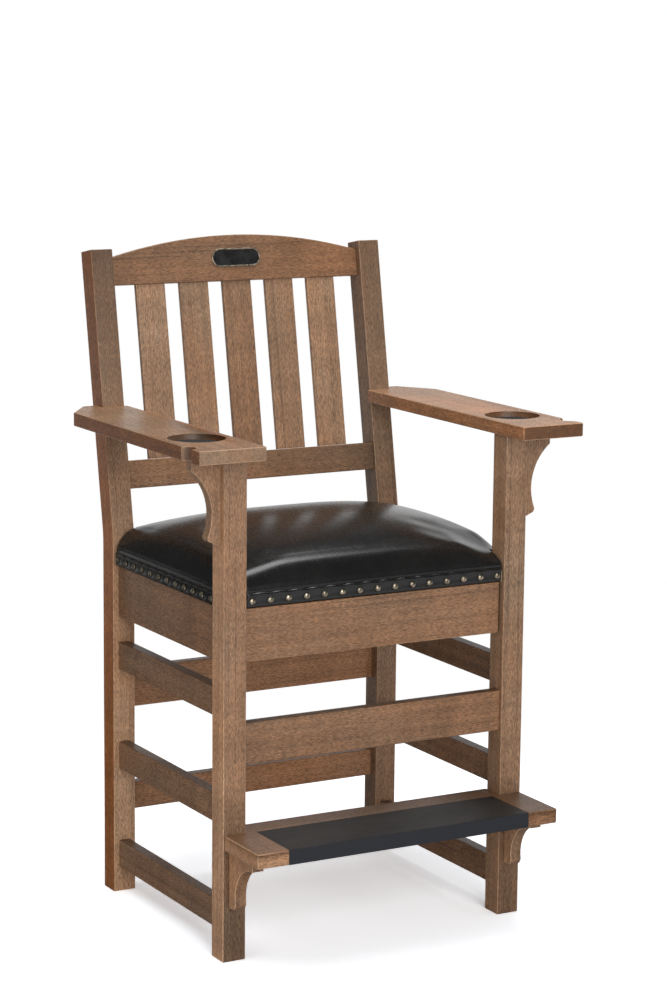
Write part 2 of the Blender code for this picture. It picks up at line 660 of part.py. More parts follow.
def make_seat():
    corners = make_seat_corners()
    band_top = SEAT_HEIGHT + BAND_HEIGHT
    rim = band_top + BULGE_RISE
    front = SEAT_FRONT_INSET

    cover = crowned_sheet(SEAT_HALF, front, SEAT_BACK, rim)
    band = (SEAT_HALF - DRAW_IN, front + DRAW_IN, SEAT_BACK - DRAW_IN)
    drop_rim(cover, *band, band_top)
    drop_rim(cover, *band, SEAT_HEIGHT)
    item = piece("seat_cover", cover, leather)
    thicken = item.modifiers.new("leather", "SOLIDIFY")
    thicken.thickness = LEATHER
    thicken.offset = -1
    combine(item, corners)

    inset = DRAW_IN + LEATHER + FOAM_SLACK
    padding = crowned_sheet(SEAT_HALF - inset, front + inset, SEAT_BACK - inset, rim - LEATHER - FOAM_SLACK)
    bed = band_top + GAP
    drop_rim(padding, SEAT_HALF - inset, front + inset, SEAT_BACK - inset, bed)
    bmesh.ops.holes_fill(padding, edges=[e for e in padding.edges if e.is_boundary])
    combine(piece("seat_foam", padding, foam), corners)

    edge = DRAW_IN + LEATHER + GAP
    reach = SEAT_HALF - edge
    panel = bmesh.new()
    block(panel, (-reach, front + edge, SEAT_HEIGHT), (reach, SEAT_BACK - edge, band_top))
    combine(piece("seat_board", panel, plywood), corners)


def nail_row(name, start, end, outward):
    """Domed nail heads along one side of the seat, joined by a thin strip against the leather."""
    start = Vector(start)
    end = Vector(end)
    outward = Vector(outward)
    run = (end - start).normalized()
    usable = (end - start).length - 2 * NAIL_END
    count = round(usable / NAIL_PITCH) + 1
    frame = Matrix((run, outward, Vector((0, 0, 1)))).transposed().to_4x4()
    frame.translation = start + outward * GAP
    strip = bmesh.new()
    half_strip = NAIL_STRIP_HEIGHT / 2
    block(strip, (NAIL_END, 0, -half_strip), (NAIL_END + usable, NAIL_STRIP_THICKNESS, half_strip), frame)
    row = piece(name, strip, brass)
    heads = bmesh.new()
    turn = Matrix.Rotation(math.radians(-90), 4, "X")
    for i in range(count):
        spot = Vector((NAIL_END + usable * i / (count - 1), NAIL_DOME / 2, 0))
        bmesh.ops.create_cone(heads, cap_ends=True, segments=NAIL_SEGMENTS, radius1=NAIL_HEAD / 2,
                              radius2=NAIL_HEAD / 4, depth=NAIL_DOME,
                              matrix=frame @ Matrix.Translation(spot) @ turn)
    combine(row, cutter(name + "_heads", heads), "UNION")


def make_nails():
    z = SEAT_HEIGHT + NAIL_LINE
    side = SEAT_HALF - DRAW_IN
    front = SEAT_FRONT_INSET + DRAW_IN
    rear = SEAT_BACK - DRAW_IN
    inner = INNER - SEAT_CLEARANCE
    near = LEG + SEAT_CLEARANCE
    far = POST_SETBACK - SEAT_CLEARANCE
    nail_row("seat_nails_front", (-inner, front, z), (inner, front, z), (0, -1, 0))
    nail_row("seat_nails_rear", (-inner, rear, z), (inner, rear, z), (0, 1, 0))
    nail_row("seat_nails_left", (-side, near, z), (-side, far, z), (-1, 0, 0))
    nail_row("seat_nails_right", (side, near, z), (side, far, z), (1, 0, 0))


def make_drawer():
    top = DRAWER_FACE_TOP
    face = rounded([
        (-DRAWER_HALF, DRAWER_FOOT, DRAWER_CORNER), (DRAWER_HALF, DRAWER_FOOT, DRAWER_CORNER),
        (DRAWER_HALF, top, 0), (-DRAWER_HALF, top, 0),
    ])
    mesh = board([face], RAIL_THICKNESS, FACING_FRONT, (0, DRAWER_INSET + RAIL_THICKNESS / 2, 0))
    ease(mesh, EASE, across=1)
    piece("drawer_front", mesh, oak, slide)

    start = DRAWER_FACE_BACK + GAP
    end = start + DRAWER_LENGTH
    side_top = DRAWER_SIDE_FOOT + DRAWER_SIDE_HEIGHT
    bottom_foot = DRAWER_SIDE_FOOT + DRAWER_BOTTOM_RISE
    bottom_top = bottom_foot + DRAWER_BOTTOM
    wall_inner = DRAWER_HALF - DRAWER_WALL
    groove = wall_inner + DRAWER_GROOVE
    for side in ("left", "right"):
        section = [
            (wall_inner, DRAWER_SIDE_FOOT), (DRAWER_HALF, DRAWER_SIDE_FOOT), (DRAWER_HALF, side_top),
            (wall_inner, side_top), (wall_inner, bottom_top + GAP), (groove, bottom_top + GAP),
            (groove, bottom_foot - GAP), (wall_inner, bottom_foot - GAP),
        ]
        section = [(side_sign(side) * x, z) for x, z in section]
        mesh = board([section], DRAWER_LENGTH, FACING_FRONT, (0, (start + end) / 2, 0))
        piece("drawer_side_" + side, mesh, plywood, slide)

    rear = bmesh.new()
    reach = wall_inner - GAP
    block(rear, (-reach, end - DRAWER_WALL, bottom_top + GAP), (reach, end, side_top))
    piece("drawer_back", rear, plywood, slide)
    floor = bmesh.new()
    reach = groove - GAP
    block(floor, (-reach, start, bottom_foot), (reach, end, bottom_top))
    piece("drawer_bottom", floor, plywood, slide)


def make_runner(side):
    mesh = bmesh.new()
    outer = APRON_INNER - GAP
    x_low, x_high = across(side, outer - RUNNER_WIDTH, outer)
    block(mesh, (x_low, LEG + GAP, RUNNER_TOP - RUNNER_THICKNESS), (x_high, POST_SETBACK - GAP, RUNNER_TOP))
    piece("drawer_runner_" + side, mesh, oak)


make_cross_rails()
make_bearer()
make_back()
make_crest_plate()
for hand in ("left", "right"):
    make_side_rails(hand)
    make_front_leg(hand)
    make_back_post(hand)
    make_arm(hand)
    make_brackets(hand)
    make_runner(hand)
make_footrest()
make_seat()
make_nails()
make_drawer()
bpy.context.view_layer.update()
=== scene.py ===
import math

import bmesh
import bpy
from mathutils import Matrix, Vector, noise


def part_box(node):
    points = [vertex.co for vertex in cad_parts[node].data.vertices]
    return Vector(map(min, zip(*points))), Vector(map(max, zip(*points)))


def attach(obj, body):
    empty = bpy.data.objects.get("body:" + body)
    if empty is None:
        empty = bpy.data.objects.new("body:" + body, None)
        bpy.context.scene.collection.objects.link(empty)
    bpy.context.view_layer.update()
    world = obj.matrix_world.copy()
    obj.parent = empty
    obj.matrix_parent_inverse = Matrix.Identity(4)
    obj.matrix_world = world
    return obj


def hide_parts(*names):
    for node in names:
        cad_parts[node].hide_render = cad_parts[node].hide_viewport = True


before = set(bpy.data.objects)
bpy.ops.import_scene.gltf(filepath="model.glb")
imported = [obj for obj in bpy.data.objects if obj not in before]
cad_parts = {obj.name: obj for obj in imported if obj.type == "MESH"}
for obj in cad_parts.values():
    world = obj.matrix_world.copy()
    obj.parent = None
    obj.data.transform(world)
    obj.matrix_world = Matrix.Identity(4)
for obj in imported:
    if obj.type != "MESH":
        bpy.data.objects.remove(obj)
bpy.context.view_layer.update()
print("frame loaded with", len(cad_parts), "CAD nodes")

scene = bpy.context.scene
scene.view_settings.view_transform = "Standard"

# camera at the photograph's place: metres, degrees, and the focal length in pixels of a 1000 pixel tall image
cameraSetup = dict(place=(-2.4482, -4.41585, 1.6589), yaw=29.373, pitch=-9.903, roll=0.5615, focalPixels=2752,
                   imageHeight=1000, sensor=36)


def makeCamera(setup):
    yaw, pitch, roll = (math.radians(setup[k]) for k in ("yaw", "pitch", "roll"))
    ahead = Vector((math.sin(yaw) * math.cos(pitch), math.cos(yaw) * math.cos(pitch), math.sin(pitch)))
    flatRight = Vector((math.cos(yaw), -math.sin(yaw), 0))
    flatUp = flatRight.cross(ahead)
    right = flatRight * math.cos(roll) + flatUp * math.sin(roll)
    up = flatUp * math.cos(roll) - flatRight * math.sin(roll)
    data = bpy.data.cameras.new("photoCamera")
    data.sensor_fit = "VERTICAL"
    data.sensor_height = setup["sensor"]
    data.lens = setup["focalPixels"] / setup["imageHeight"] * setup["sensor"]
    camera = bpy.data.objects.new("photoCamera", data)
    facing = Matrix((right, up, -ahead)).transposed().to_4x4()
    camera.matrix_world = Matrix.Translation(setup["place"]) @ facing
    scene.collection.objects.link(camera)
    scene.camera = camera


makeCamera(cameraSetup)

# studio: white ground and backdrop, a wide front box, a weaker one above on the left, a small one
# over the seat and a low one at the left
studioSetup = dict(
    ambient=0.34, dimRoom=0.08, backdropSide=(0.80, 0.60, 0), backdropTop=(0.25, 0.65), backdropEdge=(0.50, 0.88),
    groundColour=(0.86, 0.86, 0.86, 1), groundSeen=(1.56, 1.61, 1.68, 1), groundLift=0.22, groundNear=0.75,
    groundFar=1.60, groundHalf=14, groundEdge=(0.3, 1.2),
    groundMirrored=((0.05, 0.05, 0.05, 1), (0.75, 0.75, 0.77, 1)), mirroredFade=(0.5, -1.5),
    boxes=(
        dict(name="frontBox", place=(-0.6, -4.3, 1.90), aim=(0, 0, 0.7), size=(2.4, 2.4), watts=113),
        dict(name="overheadBox", place=(-1.5, -0.1, 3.2), aim=(0, 0, 0.5), size=(2.4, 2.0), watts=22),
        dict(name="topBox", place=(0.20, 0.00, 2.85), aim=(-0.1, -0.15, 0.7), size=(0.9, 1.6), watts=23),
        dict(name="lowBox", place=(-3.0, -1.2, 0.30), aim=(0, 0, 0.2), size=(1.6, 0.6), watts=8),
    ),
)
pureWhite = (1, 1, 1, 1)


def addNode(tree, kind, inputs=None, **options):
    made = tree.nodes.new(kind)
    for key, value in options.items():
        setattr(made, key, value)
    for key, value in (inputs or {}).items():
        made.inputs[key].default_value = value
    return made


def joinNodes(tree, *links):
    for source, target in links:
        tree.links.new(source, target)


def feed(tree, socket, value):
    # a socket takes another node's output, or a plain value
    if isinstance(value, bpy.types.NodeSocket):
        tree.links.new(value, socket)
    else:
        socket.default_value = value


def mathOf(tree, operation, first, second):
    made = addNode(tree, "ShaderNodeMath", operation=operation)
    feed(tree, made.inputs[0], first)
    feed(tree, made.inputs[1], second)
    return made.outputs[0]


def rangeOf(tree, value, fromLow, fromHigh, toLow, toHigh, curve="LINEAR"):
    span = addNode(tree, "ShaderNodeMapRange", {"From Min": fromLow, "From Max": fromHigh, "To Min": toLow,
                                                "To Max": toHigh}, interpolation_type=curve)
    tree.links.new(value, span.inputs["Value"])
    return span.outputs[0]


def mixColours(tree, factor, first, second, blend="MIX"):
    mix = addNode(tree, "ShaderNodeMix", data_type="RGBA", blend_type=blend)
    for index, value in ((0, factor), (6, first), (7, second)):   # the colour sockets are the 6th and 7th
        feed(tree, mix.inputs[index], value)
    return mix.outputs[2]


def objectSpot(tree):
    return addNode(tree, "ShaderNodeTexCoord").outputs["Object"]


def towardBackdrop(tree, vector, side, start, end):
    # how far a place or a direction lies on the backdrop's side of the chair, from 0 to 1
    lean = addNode(tree, "ShaderNodeVectorMath", {1: side}, operation="DOT_PRODUCT")
    tree.links.new(vector, lean.inputs[0])
    return rangeOf(tree, lean.outputs["Value"], start, end, 0, 1, "SMOOTHSTEP")


def whiteShare(tree, backdrop):
    # white to the camera everywhere; polished and clear surfaces see the white of the backdrop
    path = addNode(tree, "ShaderNodeLightPath")
    mirrored = mathOf(tree, "MAXIMUM", path.outputs["Is Glossy Ray"], path.outputs["Is Transmission Ray"])
    return mathOf(tree, "MAXIMUM", path.outputs["Is Camera Ray"], mathOf(tree, "MULTIPLY", mirrored, backdrop))


def makeWorld(setup):
    world = bpy.data.worlds.new("whiteStudio")
    world.use_nodes = True
    tree = world.node_tree
    tree.nodes.clear()
    ray = addNode(tree, "ShaderNodeTexCoord").outputs["Generated"]
    split = addNode(tree, "ShaderNodeSeparateXYZ")
    tree.links.new(ray, split.inputs[0])
    below = rangeOf(tree, split.outputs["Z"], *setup["backdropTop"], 1, 0, "SMOOTHSTEP")
    beyond = towardBackdrop(tree, ray, setup["backdropSide"], *setup["backdropEdge"])
    share = whiteShare(tree, mathOf(tree, "MULTIPLY", below, beyond))
    glossy = addNode(tree, "ShaderNodeLightPath").outputs["Is Glossy Ray"]
    room = rangeOf(tree, glossy, 0, 1, setup["ambient"], setup["dimRoom"])
    strength = addNode(tree, "ShaderNodeMix", {"B": 1})
    light = addNode(tree, "ShaderNodeBackground", {"Color": pureWhite})
    out = addNode(tree, "ShaderNodeOutputWorld")
    joinNodes(tree, (share, strength.inputs["Factor"]), (room, strength.inputs["A"]),
              (strength.outputs[0], light.inputs["Strength"]), (light.outputs[0], out.inputs[0]))
    scene.world = world


def makeGround(setup):
    sheet = bmesh.new()
    bmesh.ops.create_grid(sheet, x_segments=4, y_segments=4, size=setup["groundHalf"])
    data = bpy.data.meshes.new("studioGround")
    sheet.to_mesh(data)
    sheet.free()
    ground = bpy.data.objects.new("studioGround", data)
    scene.collection.objects.link(ground)
    paper = bpy.data.materials.new("whiteGround")
    paper.use_nodes = True
    tree = paper.node_tree
    tree.nodes.clear()
    # matte paper under the chair, which keeps its shadow, turning into plain white further out
    spot = objectSpot(tree)
    distance = addNode(tree, "ShaderNodeVectorMath", operation="LENGTH")
    split = addNode(tree, "ShaderNodeSeparateXYZ")
    joinNodes(tree, (spot, distance.inputs[0]), (spot, split.inputs[0]))
    outward = rangeOf(tree, distance.outputs["Value"], setup["groundNear"], setup["groundFar"], 0, 1, "SMOOTHSTEP")
    glossy = addNode(tree, "ShaderNodeLightPath").outputs["Is Glossy Ray"]
    ahead = rangeOf(tree, split.outputs["Y"], *setup["mirroredFade"], 0, 1)
    mirrored = mixColours(tree, ahead, *setup["groundMirrored"])
    matte = addNode(tree, "ShaderNodeBsdfDiffuse")
    tree.links.new(mixColours(tree, glossy, setup["groundColour"], mirrored), matte.inputs["Color"])
    bright = addNode(tree, "ShaderNodeBsdfDiffuse", {"Color": setup["groundSeen"]})
    lift = addNode(tree, "ShaderNodeEmission", {"Color": pureWhite, "Strength": setup["groundLift"]})
    plain = addNode(tree, "ShaderNodeEmission", {"Color": pureWhite, "Strength": 1})
    lifted = addNode(tree, "ShaderNodeAddShader")
    seen = addNode(tree, "ShaderNodeMixShader")
    final = addNode(tree, "ShaderNodeMixShader")
    out = addNode(tree, "ShaderNodeOutputMaterial")
    share = whiteShare(tree, towardBackdrop(tree, spot, setup["backdropSide"], *setup["groundEdge"]))
    joinNodes(tree, (bright.outputs[0], lifted.inputs[0]), (lift.outputs[0], lifted.inputs[1]),
              (outward, seen.inputs[0]), (lifted.outputs[0], seen.inputs[1]), (plain.outputs[0], seen.inputs[2]),
              (share, final.inputs[0]), (matte.outputs[0], final.inputs[1]), (seen.outputs[0], final.inputs[2]),
              (final.outputs[0], out.inputs[0]))
    data.materials.append(paper)


def makeLamps(setup):
    for box in setup["boxes"]:
        light = bpy.data.lights.new(box["name"], "AREA")
        light.shape = "RECTANGLE"
        light.size, light.size_y = box["size"]
        light.energy = box["watts"]
        lamp = bpy.data.objects.new(box["name"], light)
        place = Vector(box["place"])
        aim = (Vector(box["aim"]) - place).to_track_quat("-Z", "Y").to_matrix().to_4x4()
        lamp.matrix_world = Matrix.Translation(place) @ aim
        scene.collection.objects.link(lamp)


makeWorld(studioSetup)
makeGround(studioSetup)
makeLamps(studioSetup)
print("camera and studio ready")

noiseSpan = (0.3, 0.7)   # most values of a noise lie between these


def newFinish(name):
    material = bpy.data.materials.new(name)
    material.use_nodes = True
    return material, material.node_tree, material.node_tree.nodes["Principled BSDF"]


def noiseAt(tree, vector, scale, detail=3.0, roughness=0.5, distortion=0.0):
    # scale is the number of features per metre, one for all directions or one for each
    scale = scale if isinstance(scale, tuple) else (scale,) * 3
    stretch = addNode(tree, "ShaderNodeMapping", {"Scale": scale})
    cloud = addNode(tree, "ShaderNodeTexNoise", {"Scale": 1.0, "Detail": detail, "Roughness": roughness,
                                                 "Distortion": distortion})
    joinNodes(tree, (vector, stretch.inputs["Vector"]), (stretch.outputs[0], cloud.inputs["Vector"]))
    return cloud.outputs["Fac"]


def rampOf(tree, value, *stops):
    ramp = addNode(tree, "ShaderNodeValToRGB")
    elements = ramp.color_ramp.elements
    while len(elements) < len(stops):
        elements.new(0.5)
    for element, (place, colour) in zip(elements, stops):
        element.position = place
        element.color = (*colour, 1)
    tree.links.new(value, ramp.inputs[0])
    return ramp.outputs["Color"]


def greyRamp(tree, value, start, dark, end, light):
    return rampOf(tree, value, (start, (dark,) * 3), (end, (light,) * 3))


def bumpFrom(tree, height, strength, distance, below=None):
    bump = addNode(tree, "ShaderNodeBump", {"Strength": strength, "Distance": distance})
    tree.links.new(height, bump.inputs["Height"])
    if below is not None:
        tree.links.new(below, bump.inputs["Normal"])
    return bump.outputs[0]


def attributeOf(tree, name, output="Fac"):
    return addNode(tree, "ShaderNodeAttribute", attribute_name=name).outputs[output]


def dress(tree, shader, colour, roughness, normal, specular=0.5):
    for name, value in (("Base Color", colour), ("Roughness", roughness), ("Normal", normal),
                        ("Specular IOR Level", specular)):
        feed(tree, shader.inputs[name], value)


# stained hardwood: the grain attribute runs along each piece, in metres; scales are features per metre,
# along and across; warmth goes from cool at 0 to warm at 1, and past it redder still; tone and warmth also
# carry painted light and shade, and the paler rounded edges are partly rubbing and partly a painted highlight
woodLook = dict(
    warm=(0.330, 0.162, 0.079, 1), cool=(0.266, 0.164, 0.099, 1), drift=0.28, clouds=(3.2, 9, 9),
    blotches=(22, 5, 5), blotchTints=(0.90, 1.10), streaks=(3.0, 90, 90), streakTints=(0.86, 1.12),
    dashes=(125, 720, 720),
    dashTints=((0.30, (0.26, 0.24, 0.22)), (0.48, (0.92, 0.91, 0.90)), (0.66, (1.58, 1.58, 1.56))),
    lines=(1.3, 120, 120), line=(0.080, 0.042, 0.026, 1), lineShare=0.4,
    wornAndPaintedLight=(0.560, 0.345, 0.205, 1), wornAndPaintedLightShare=0.85, gloss=(0.48, 0.34), specular=0.38,
)


def makeWood(look):
    material, tree, shader = newFinish("stainedWood")
    grain = attributeOf(tree, "grain", "Vector")
    clouds = noiseAt(tree, grain, look["clouds"], 3, 0.5)
    blotches = noiseAt(tree, grain, look["blotches"], 2, 0.5, 0.5)
    streaks = noiseAt(tree, grain, look["streaks"], 3, 0.55, 0.3)
    dashes = noiseAt(tree, grain, look["dashes"], 3, 0.75)
    lines = noiseAt(tree, grain, look["lines"], 2, 0.5, 0.2)
    drift = rangeOf(tree, clouds, 0.36, 0.64, -look["drift"], look["drift"])
    warmth = mathOf(tree, "ADD", attributeOf(tree, "warmth"), drift)
    colour = mixColours(tree, warmth, look["cool"], look["warm"])
    colour.node.clamp_factor = False
    for shade, (dark, light) in ((blotches, look["blotchTints"]), (streaks, look["streakTints"])):
        tint = greyRamp(tree, shade, 0.34, dark, 0.66, light)
        colour = mixColours(tree, 1.0, colour, tint, "MULTIPLY")
    lineMask = mathOf(tree, "MULTIPLY", rangeOf(tree, lines, 0.36, 0.30, 0, 1), look["lineShare"])
    colour = mixColours(tree, lineMask, colour, look["line"])
    colour = mixColours(tree, 1.0, colour, rampOf(tree, dashes, *look["dashTints"]), "MULTIPLY")
    # paler rounded edges: partly rubbing, partly a painted highlight
    wearAndPaintedHighlight = mathOf(tree, "MULTIPLY", attributeOf(tree, "edgeWearAndPaintedLight"), rangeOf(tree, dashes, 0.35, 0.60, 0.3, 1))
    colour = mixColours(tree, mathOf(tree, "MULTIPLY", wearAndPaintedHighlight, look["wornAndPaintedLightShare"]), colour, look["wornAndPaintedLight"])
    # tone and faceTone scale the colour: board tone, glue line and end grain, and also painted light and shade
    toned = addNode(tree, "ShaderNodeVectorMath", operation="SCALE")
    tone = mathOf(tree, "MULTIPLY", attributeOf(tree, "tone"), attributeOf(tree, "faceTone"))
    joinNodes(tree, (colour, toned.inputs[0]), (tone, toned.inputs["Scale"]))
    relief = bumpFrom(tree, streaks, 0.15, 0.0003)
    pits = rangeOf(tree, dashes, 0.32, 0.48, 0, 1)
    dress(tree, shader, toned.outputs[0], rangeOf(tree, dashes, 0.35, 0.65, *look["gloss"]),
          bumpFrom(tree, pits, 0.30, 0.00025, relief), look["specular"])
    return material


# bare plywood
plyLook = dict(pale=(0.56, 0.40, 0.25), deep=(0.36, 0.235, 0.13), fibres=(9, 180, 180), clouds=(3, 12, 12),
               shaded=(0.85, 0.84, 0.82), lit=(1.08, 1.08, 1.08), gloss=(0.55, 0.75))


def makePlywood(look):
    material, tree, shader = newFinish("barePlywood")
    grain = attributeOf(tree, "grain", "Vector")
    fibres = noiseAt(tree, grain, look["fibres"], 4, 0.6, 0.4)
    clouds = noiseAt(tree, grain, look["clouds"], 2)
    colour = rampOf(tree, fibres, (0.3, look["deep"]), (0.62, look["pale"]))
    shade = rampOf(tree, clouds, (0.3, look["shaded"]), (0.7, look["lit"]))
    dress(tree, shader, mixColours(tree, 1.0, colour, shade, "MULTIPLY"),
          rangeOf(tree, fibres, *noiseSpan, *look["gloss"]), bumpFrom(tree, fibres, 0.3, 0.0003))
    return material


# smooth black upholstery leather with a fine pebble
leatherLook = dict(black=(0.0048, 0.0045, 0.0044), rubbed=(0.0090, 0.0084, 0.0080), clouds=16, creases=70,
                   pebble=900, gloss=(0.24, 0.29), specular=0.60)


def makeLeather(look):
    material, tree, shader = newFinish("blackLeather")
    spot = objectSpot(tree)
    clouds = noiseAt(tree, spot, look["clouds"], 4, 0.55)
    creases = noiseAt(tree, spot, look["creases"], 3, 0.6)
    pebble = noiseAt(tree, spot, look["pebble"], 1, 0.5)
    dress(tree, shader, rampOf(tree, clouds, (0.3, look["black"]), (0.75, look["rubbed"])),
          rangeOf(tree, creases, *noiseSpan, *look["gloss"]),
          bumpFrom(tree, pebble, 0.05, 0.0002, bumpFrom(tree, creases, 0.03, 0.0010)), look["specular"])
    return material


# antique brass: brown in the hollows, bright elsewhere, with painted shade round the foot of each nail's dome
brassLook = dict(hollow=(0.030, 0.024, 0.018), middle=(0.33, 0.280, 0.205), bright=(0.62, 0.55, 0.43), hammer=420,
                 stain=190, gloss=(0.44, 0.26))


def makeBrass(look):
    material, tree, shader = newFinish("antiqueBrass")
    spot = objectSpot(tree)
    beaten = noiseAt(tree, spot, look["hammer"], 2, 0.5)
    stain = noiseAt(tree, spot, look["stain"], 3, 0.6)
    colour = rampOf(tree, stain, (0.28, look["hollow"]), (0.5, look["middle"]), (0.68, look["bright"]))
    # painted shade: dark ring round the foot of each nail's dome
    dress(tree, shader, mixColours(tree, attributeOf(tree, "edgeWearAndPaintedLight"), colour, (*look["hollow"], 1)),
          rangeOf(tree, stain, *noiseSpan, *look["gloss"]), bumpFrom(tree, beaten, 0.45, 0.0006))
    shader.inputs["Metallic"].default_value = 1
    return material


# black tread: satin sheet with a fine sanded texture
treadLook = dict(dark=(0.016, 0.0155, 0.0155), pale=(0.034, 0.031, 0.0295), lip=(0.020, 0.0215, 0.027, 1),
                 brushed=(60, 900, 900), clouds=(7, 14, 14), speck=1300, gloss=(0.46, 0.58), specular=0.25)


def makeTread(look):
    material, tree, shader = newFinish("blackTreadSheet")
    spot = objectSpot(tree)
    brushed = noiseAt(tree, spot, look["brushed"], 3, 0.6)
    clouds = noiseAt(tree, spot, look["clouds"], 3, 0.55)
    speck = noiseAt(tree, spot, look["speck"], 1, 0.5)
    colour = rampOf(tree, clouds, (0.3, look["dark"]), (0.72, look["pale"]))
    colour = mixColours(tree, 0.5, colour, greyRamp(tree, brushed, 0.3, 0.7, 0.7, 1.2), "MULTIPLY")
    # painted light: the lip's front faces get a bluish grey of their own
    dress(tree, shader, mixColours(tree, attributeOf(tree, "faceTone"), colour, look["lip"]),
          rangeOf(tree, brushed, *noiseSpan, *look["gloss"]), bumpFrom(tree, speck, 0.12, 0.0002), look["specular"])
    return material


feltLook = dict(deep=(0.006, 0.006, 0.006), pale=(0.022, 0.021, 0.020), fuzz=900, clouds=60, gloss=(0.82, 0.98),
                sheen=0.03)


def makeFelt(look):
    material, tree, shader = newFinish("blackFelt")
    spot = objectSpot(tree)
    fuzz = noiseAt(tree, spot, look["fuzz"], 4, 0.7)
    clouds = noiseAt(tree, spot, look["clouds"], 3)
    dress(tree, shader, rampOf(tree, fuzz, (0.3, look["deep"]), (0.7, look["pale"])),
          rangeOf(tree, clouds, *noiseSpan, *look["gloss"]), bumpFrom(tree, fuzz, 0.6, 0.0006))
    shader.inputs["Sheen Weight"].default_value = look["sheen"]
    return material


enamelLook = dict(black=(0.006, 0.006, 0.007), rubbed=(0.020, 0.019, 0.019), ripple=260, clouds=45,
                  gloss=(0.20, 0.36))


def makeEnamel(look):
    material, tree, shader = newFinish("blackEnamel")
    spot = objectSpot(tree)
    ripple = noiseAt(tree, spot, look["ripple"], 2)
    clouds = noiseAt(tree, spot, look["clouds"], 4, 0.6)
    dress(tree, shader, rampOf(tree, clouds, (0.3, look["black"]), (0.75, look["rubbed"])),
          rangeOf(tree, clouds, *noiseSpan, *look["gloss"]), bumpFrom(tree, ripple, 0.08, 0.0004))
    return material


stainedWood = makeWood(woodLook)
barePlywood = makePlywood(plyLook)
blackLeather = makeLeather(leatherLook)
antiqueBrass = makeBrass(brassLook)
treadSheet = makeTread(treadLook)
blackFelt = makeFelt(feltLook)
blackEnamel = makeEnamel(enamelLook)
print("finishes ready")

sharpAngle = math.radians(28)    # edges sharper than this are rounded
creaseAngle = math.radians(50)   # and shading breaks at what is left above this
weldReach, joinReach = 0.000002, 0.00001
pieceCount = 0


def newMesh():
    mesh = bmesh.new()
    mesh.verts.layers.float_vector.new("grain")
    for name in ("tone", "warmth", "edgeWearAndPaintedLight"):
        mesh.verts.layers.float.new(name)
    mesh.faces.layers.float.new("faceTone")
    return mesh


def vertsOf(parts):
    return [v for v in parts if isinstance(v, bmesh.types.BMVert)]


def faceOut(mesh):
    bmesh.ops.recalc_face_normals(mesh, faces=mesh.faces[:])


def moveMesh(mesh, matrix):
    bmesh.ops.transform(mesh, matrix=matrix, verts=mesh.verts[:])


def cutAcross(mesh, place, normal, clear=False):
    bmesh.ops.bisect_plane(mesh, geom=mesh.verts[:] + mesh.edges[:] + mesh.faces[:], plane_co=place, plane_no=normal,
                           clear_inner=clear)


def raiseFaces(mesh, faces, step):
    grown = bmesh.ops.extrude_face_region(mesh, geom=faces)["geom"]
    bmesh.ops.translate(mesh, verts=vertsOf(grown), vec=step)
    return [f for f in grown if isinstance(f, bmesh.types.BMFace)]


def boxMesh(low, high, turn=Matrix.Identity(4)):
    low, high = Vector(low), Vector(high)
    mesh = newMesh()
    place = turn @ Matrix.Translation((low + high) / 2) @ Matrix.Diagonal((*(high - low), 1))
    bmesh.ops.create_cube(mesh, size=1, matrix=place)
    return mesh


def roundEdges(mesh, width, segments=3, chosen=None):
    # rounds the convex sharp edges and marks the rounded part for paler edges, partly rubbing and partly a painted
    # highlight
    faceOut(mesh)
    edges = [e for e in mesh.edges if e.is_manifold and e.is_convex and e.calc_face_angle() > sharpAngle]
    if chosen is not None:
        edges = [e for e in edges if chosen(e)]
    made = bmesh.ops.bevel(mesh, geom=edges, offset=width, offset_type="OFFSET", affect="EDGES", segments=segments,
                           profile=0.5, material=-1, clamp_overlap=True)
    fresh = set(made["faces"])
    wornAndPaintedLight = mesh.verts.layers.float["edgeWearAndPaintedLight"]
    for vert in made["verts"]:
        if vert.is_valid and all(f in fresh for f in vert.link_faces):
            vert[wornAndPaintedLight] = 1


def runsAlong(direction):
    direction = Vector(direction).normalized()

    def test(edge):
        run = (edge.verts[0].co - edge.verts[1].co).normalized()
        return abs(run.dot(direction)) > 0.9
    return test


def clampShare(value):
    return max(0, min(1, value))


def easeShare(value):
    share = clampShare(value)
    return share * share * (3 - 2 * share)


def fade(axis, start, end, first, last):
    # a value that goes from first to last between two places along an axis
    def at(vert):
        return first + (last - first) * easeShare((vert.co[axis] - start) / (end - start))
    return at


def valueAt(value, vert):
    return value(vert) if callable(value) else value


def turned(way, most, other):
    # a value for most faces and another for the faces turned that way, each a number or a function of a vertex
    way = Vector(way)

    def at(vert):
        share = clampShare(vert.normal.dot(way) * 2 - 0.6)
        return valueAt(most, vert) * (1 - share) + valueAt(other, vert) * share
    return at


def nextShift():
    # each piece has its own place in the grain, so that no two look alike
    global pieceCount
    pieceCount += 1
    return Vector((0.731, 0.417, 0.293)) * pieceCount


def layGrain(mesh, along, tone, warmth, endTone, bend=None):
    shift = nextShift()
    grain = mesh.verts.layers.float_vector["grain"]
    shade = mesh.verts.layers.float["tone"]
    warm = mesh.verts.layers.float["warmth"]
    along = Vector(along).normalized()
    across = along.orthogonal().normalized()
    depth = along.cross(across)
    faceOut(mesh)
    mesh.normal_update()
    for vert in mesh.verts:
        spot = bend(vert.co) if bend else vert.co
        vert[grain] = Vector((spot.dot(along), spot.dot(across), spot.dot(depth))) + shift
        vert[shade] = valueAt(tone, vert)
        vert[warm] = valueAt(warmth, vert)
    faceTone = mesh.faces.layers.float["faceTone"]
    for face in mesh.faces:
        if face[faceTone] == 0:   # some faces have a tone of their own already
            face[faceTone] = endTone if abs(face.normal.dot(along)) > 0.9 else 1


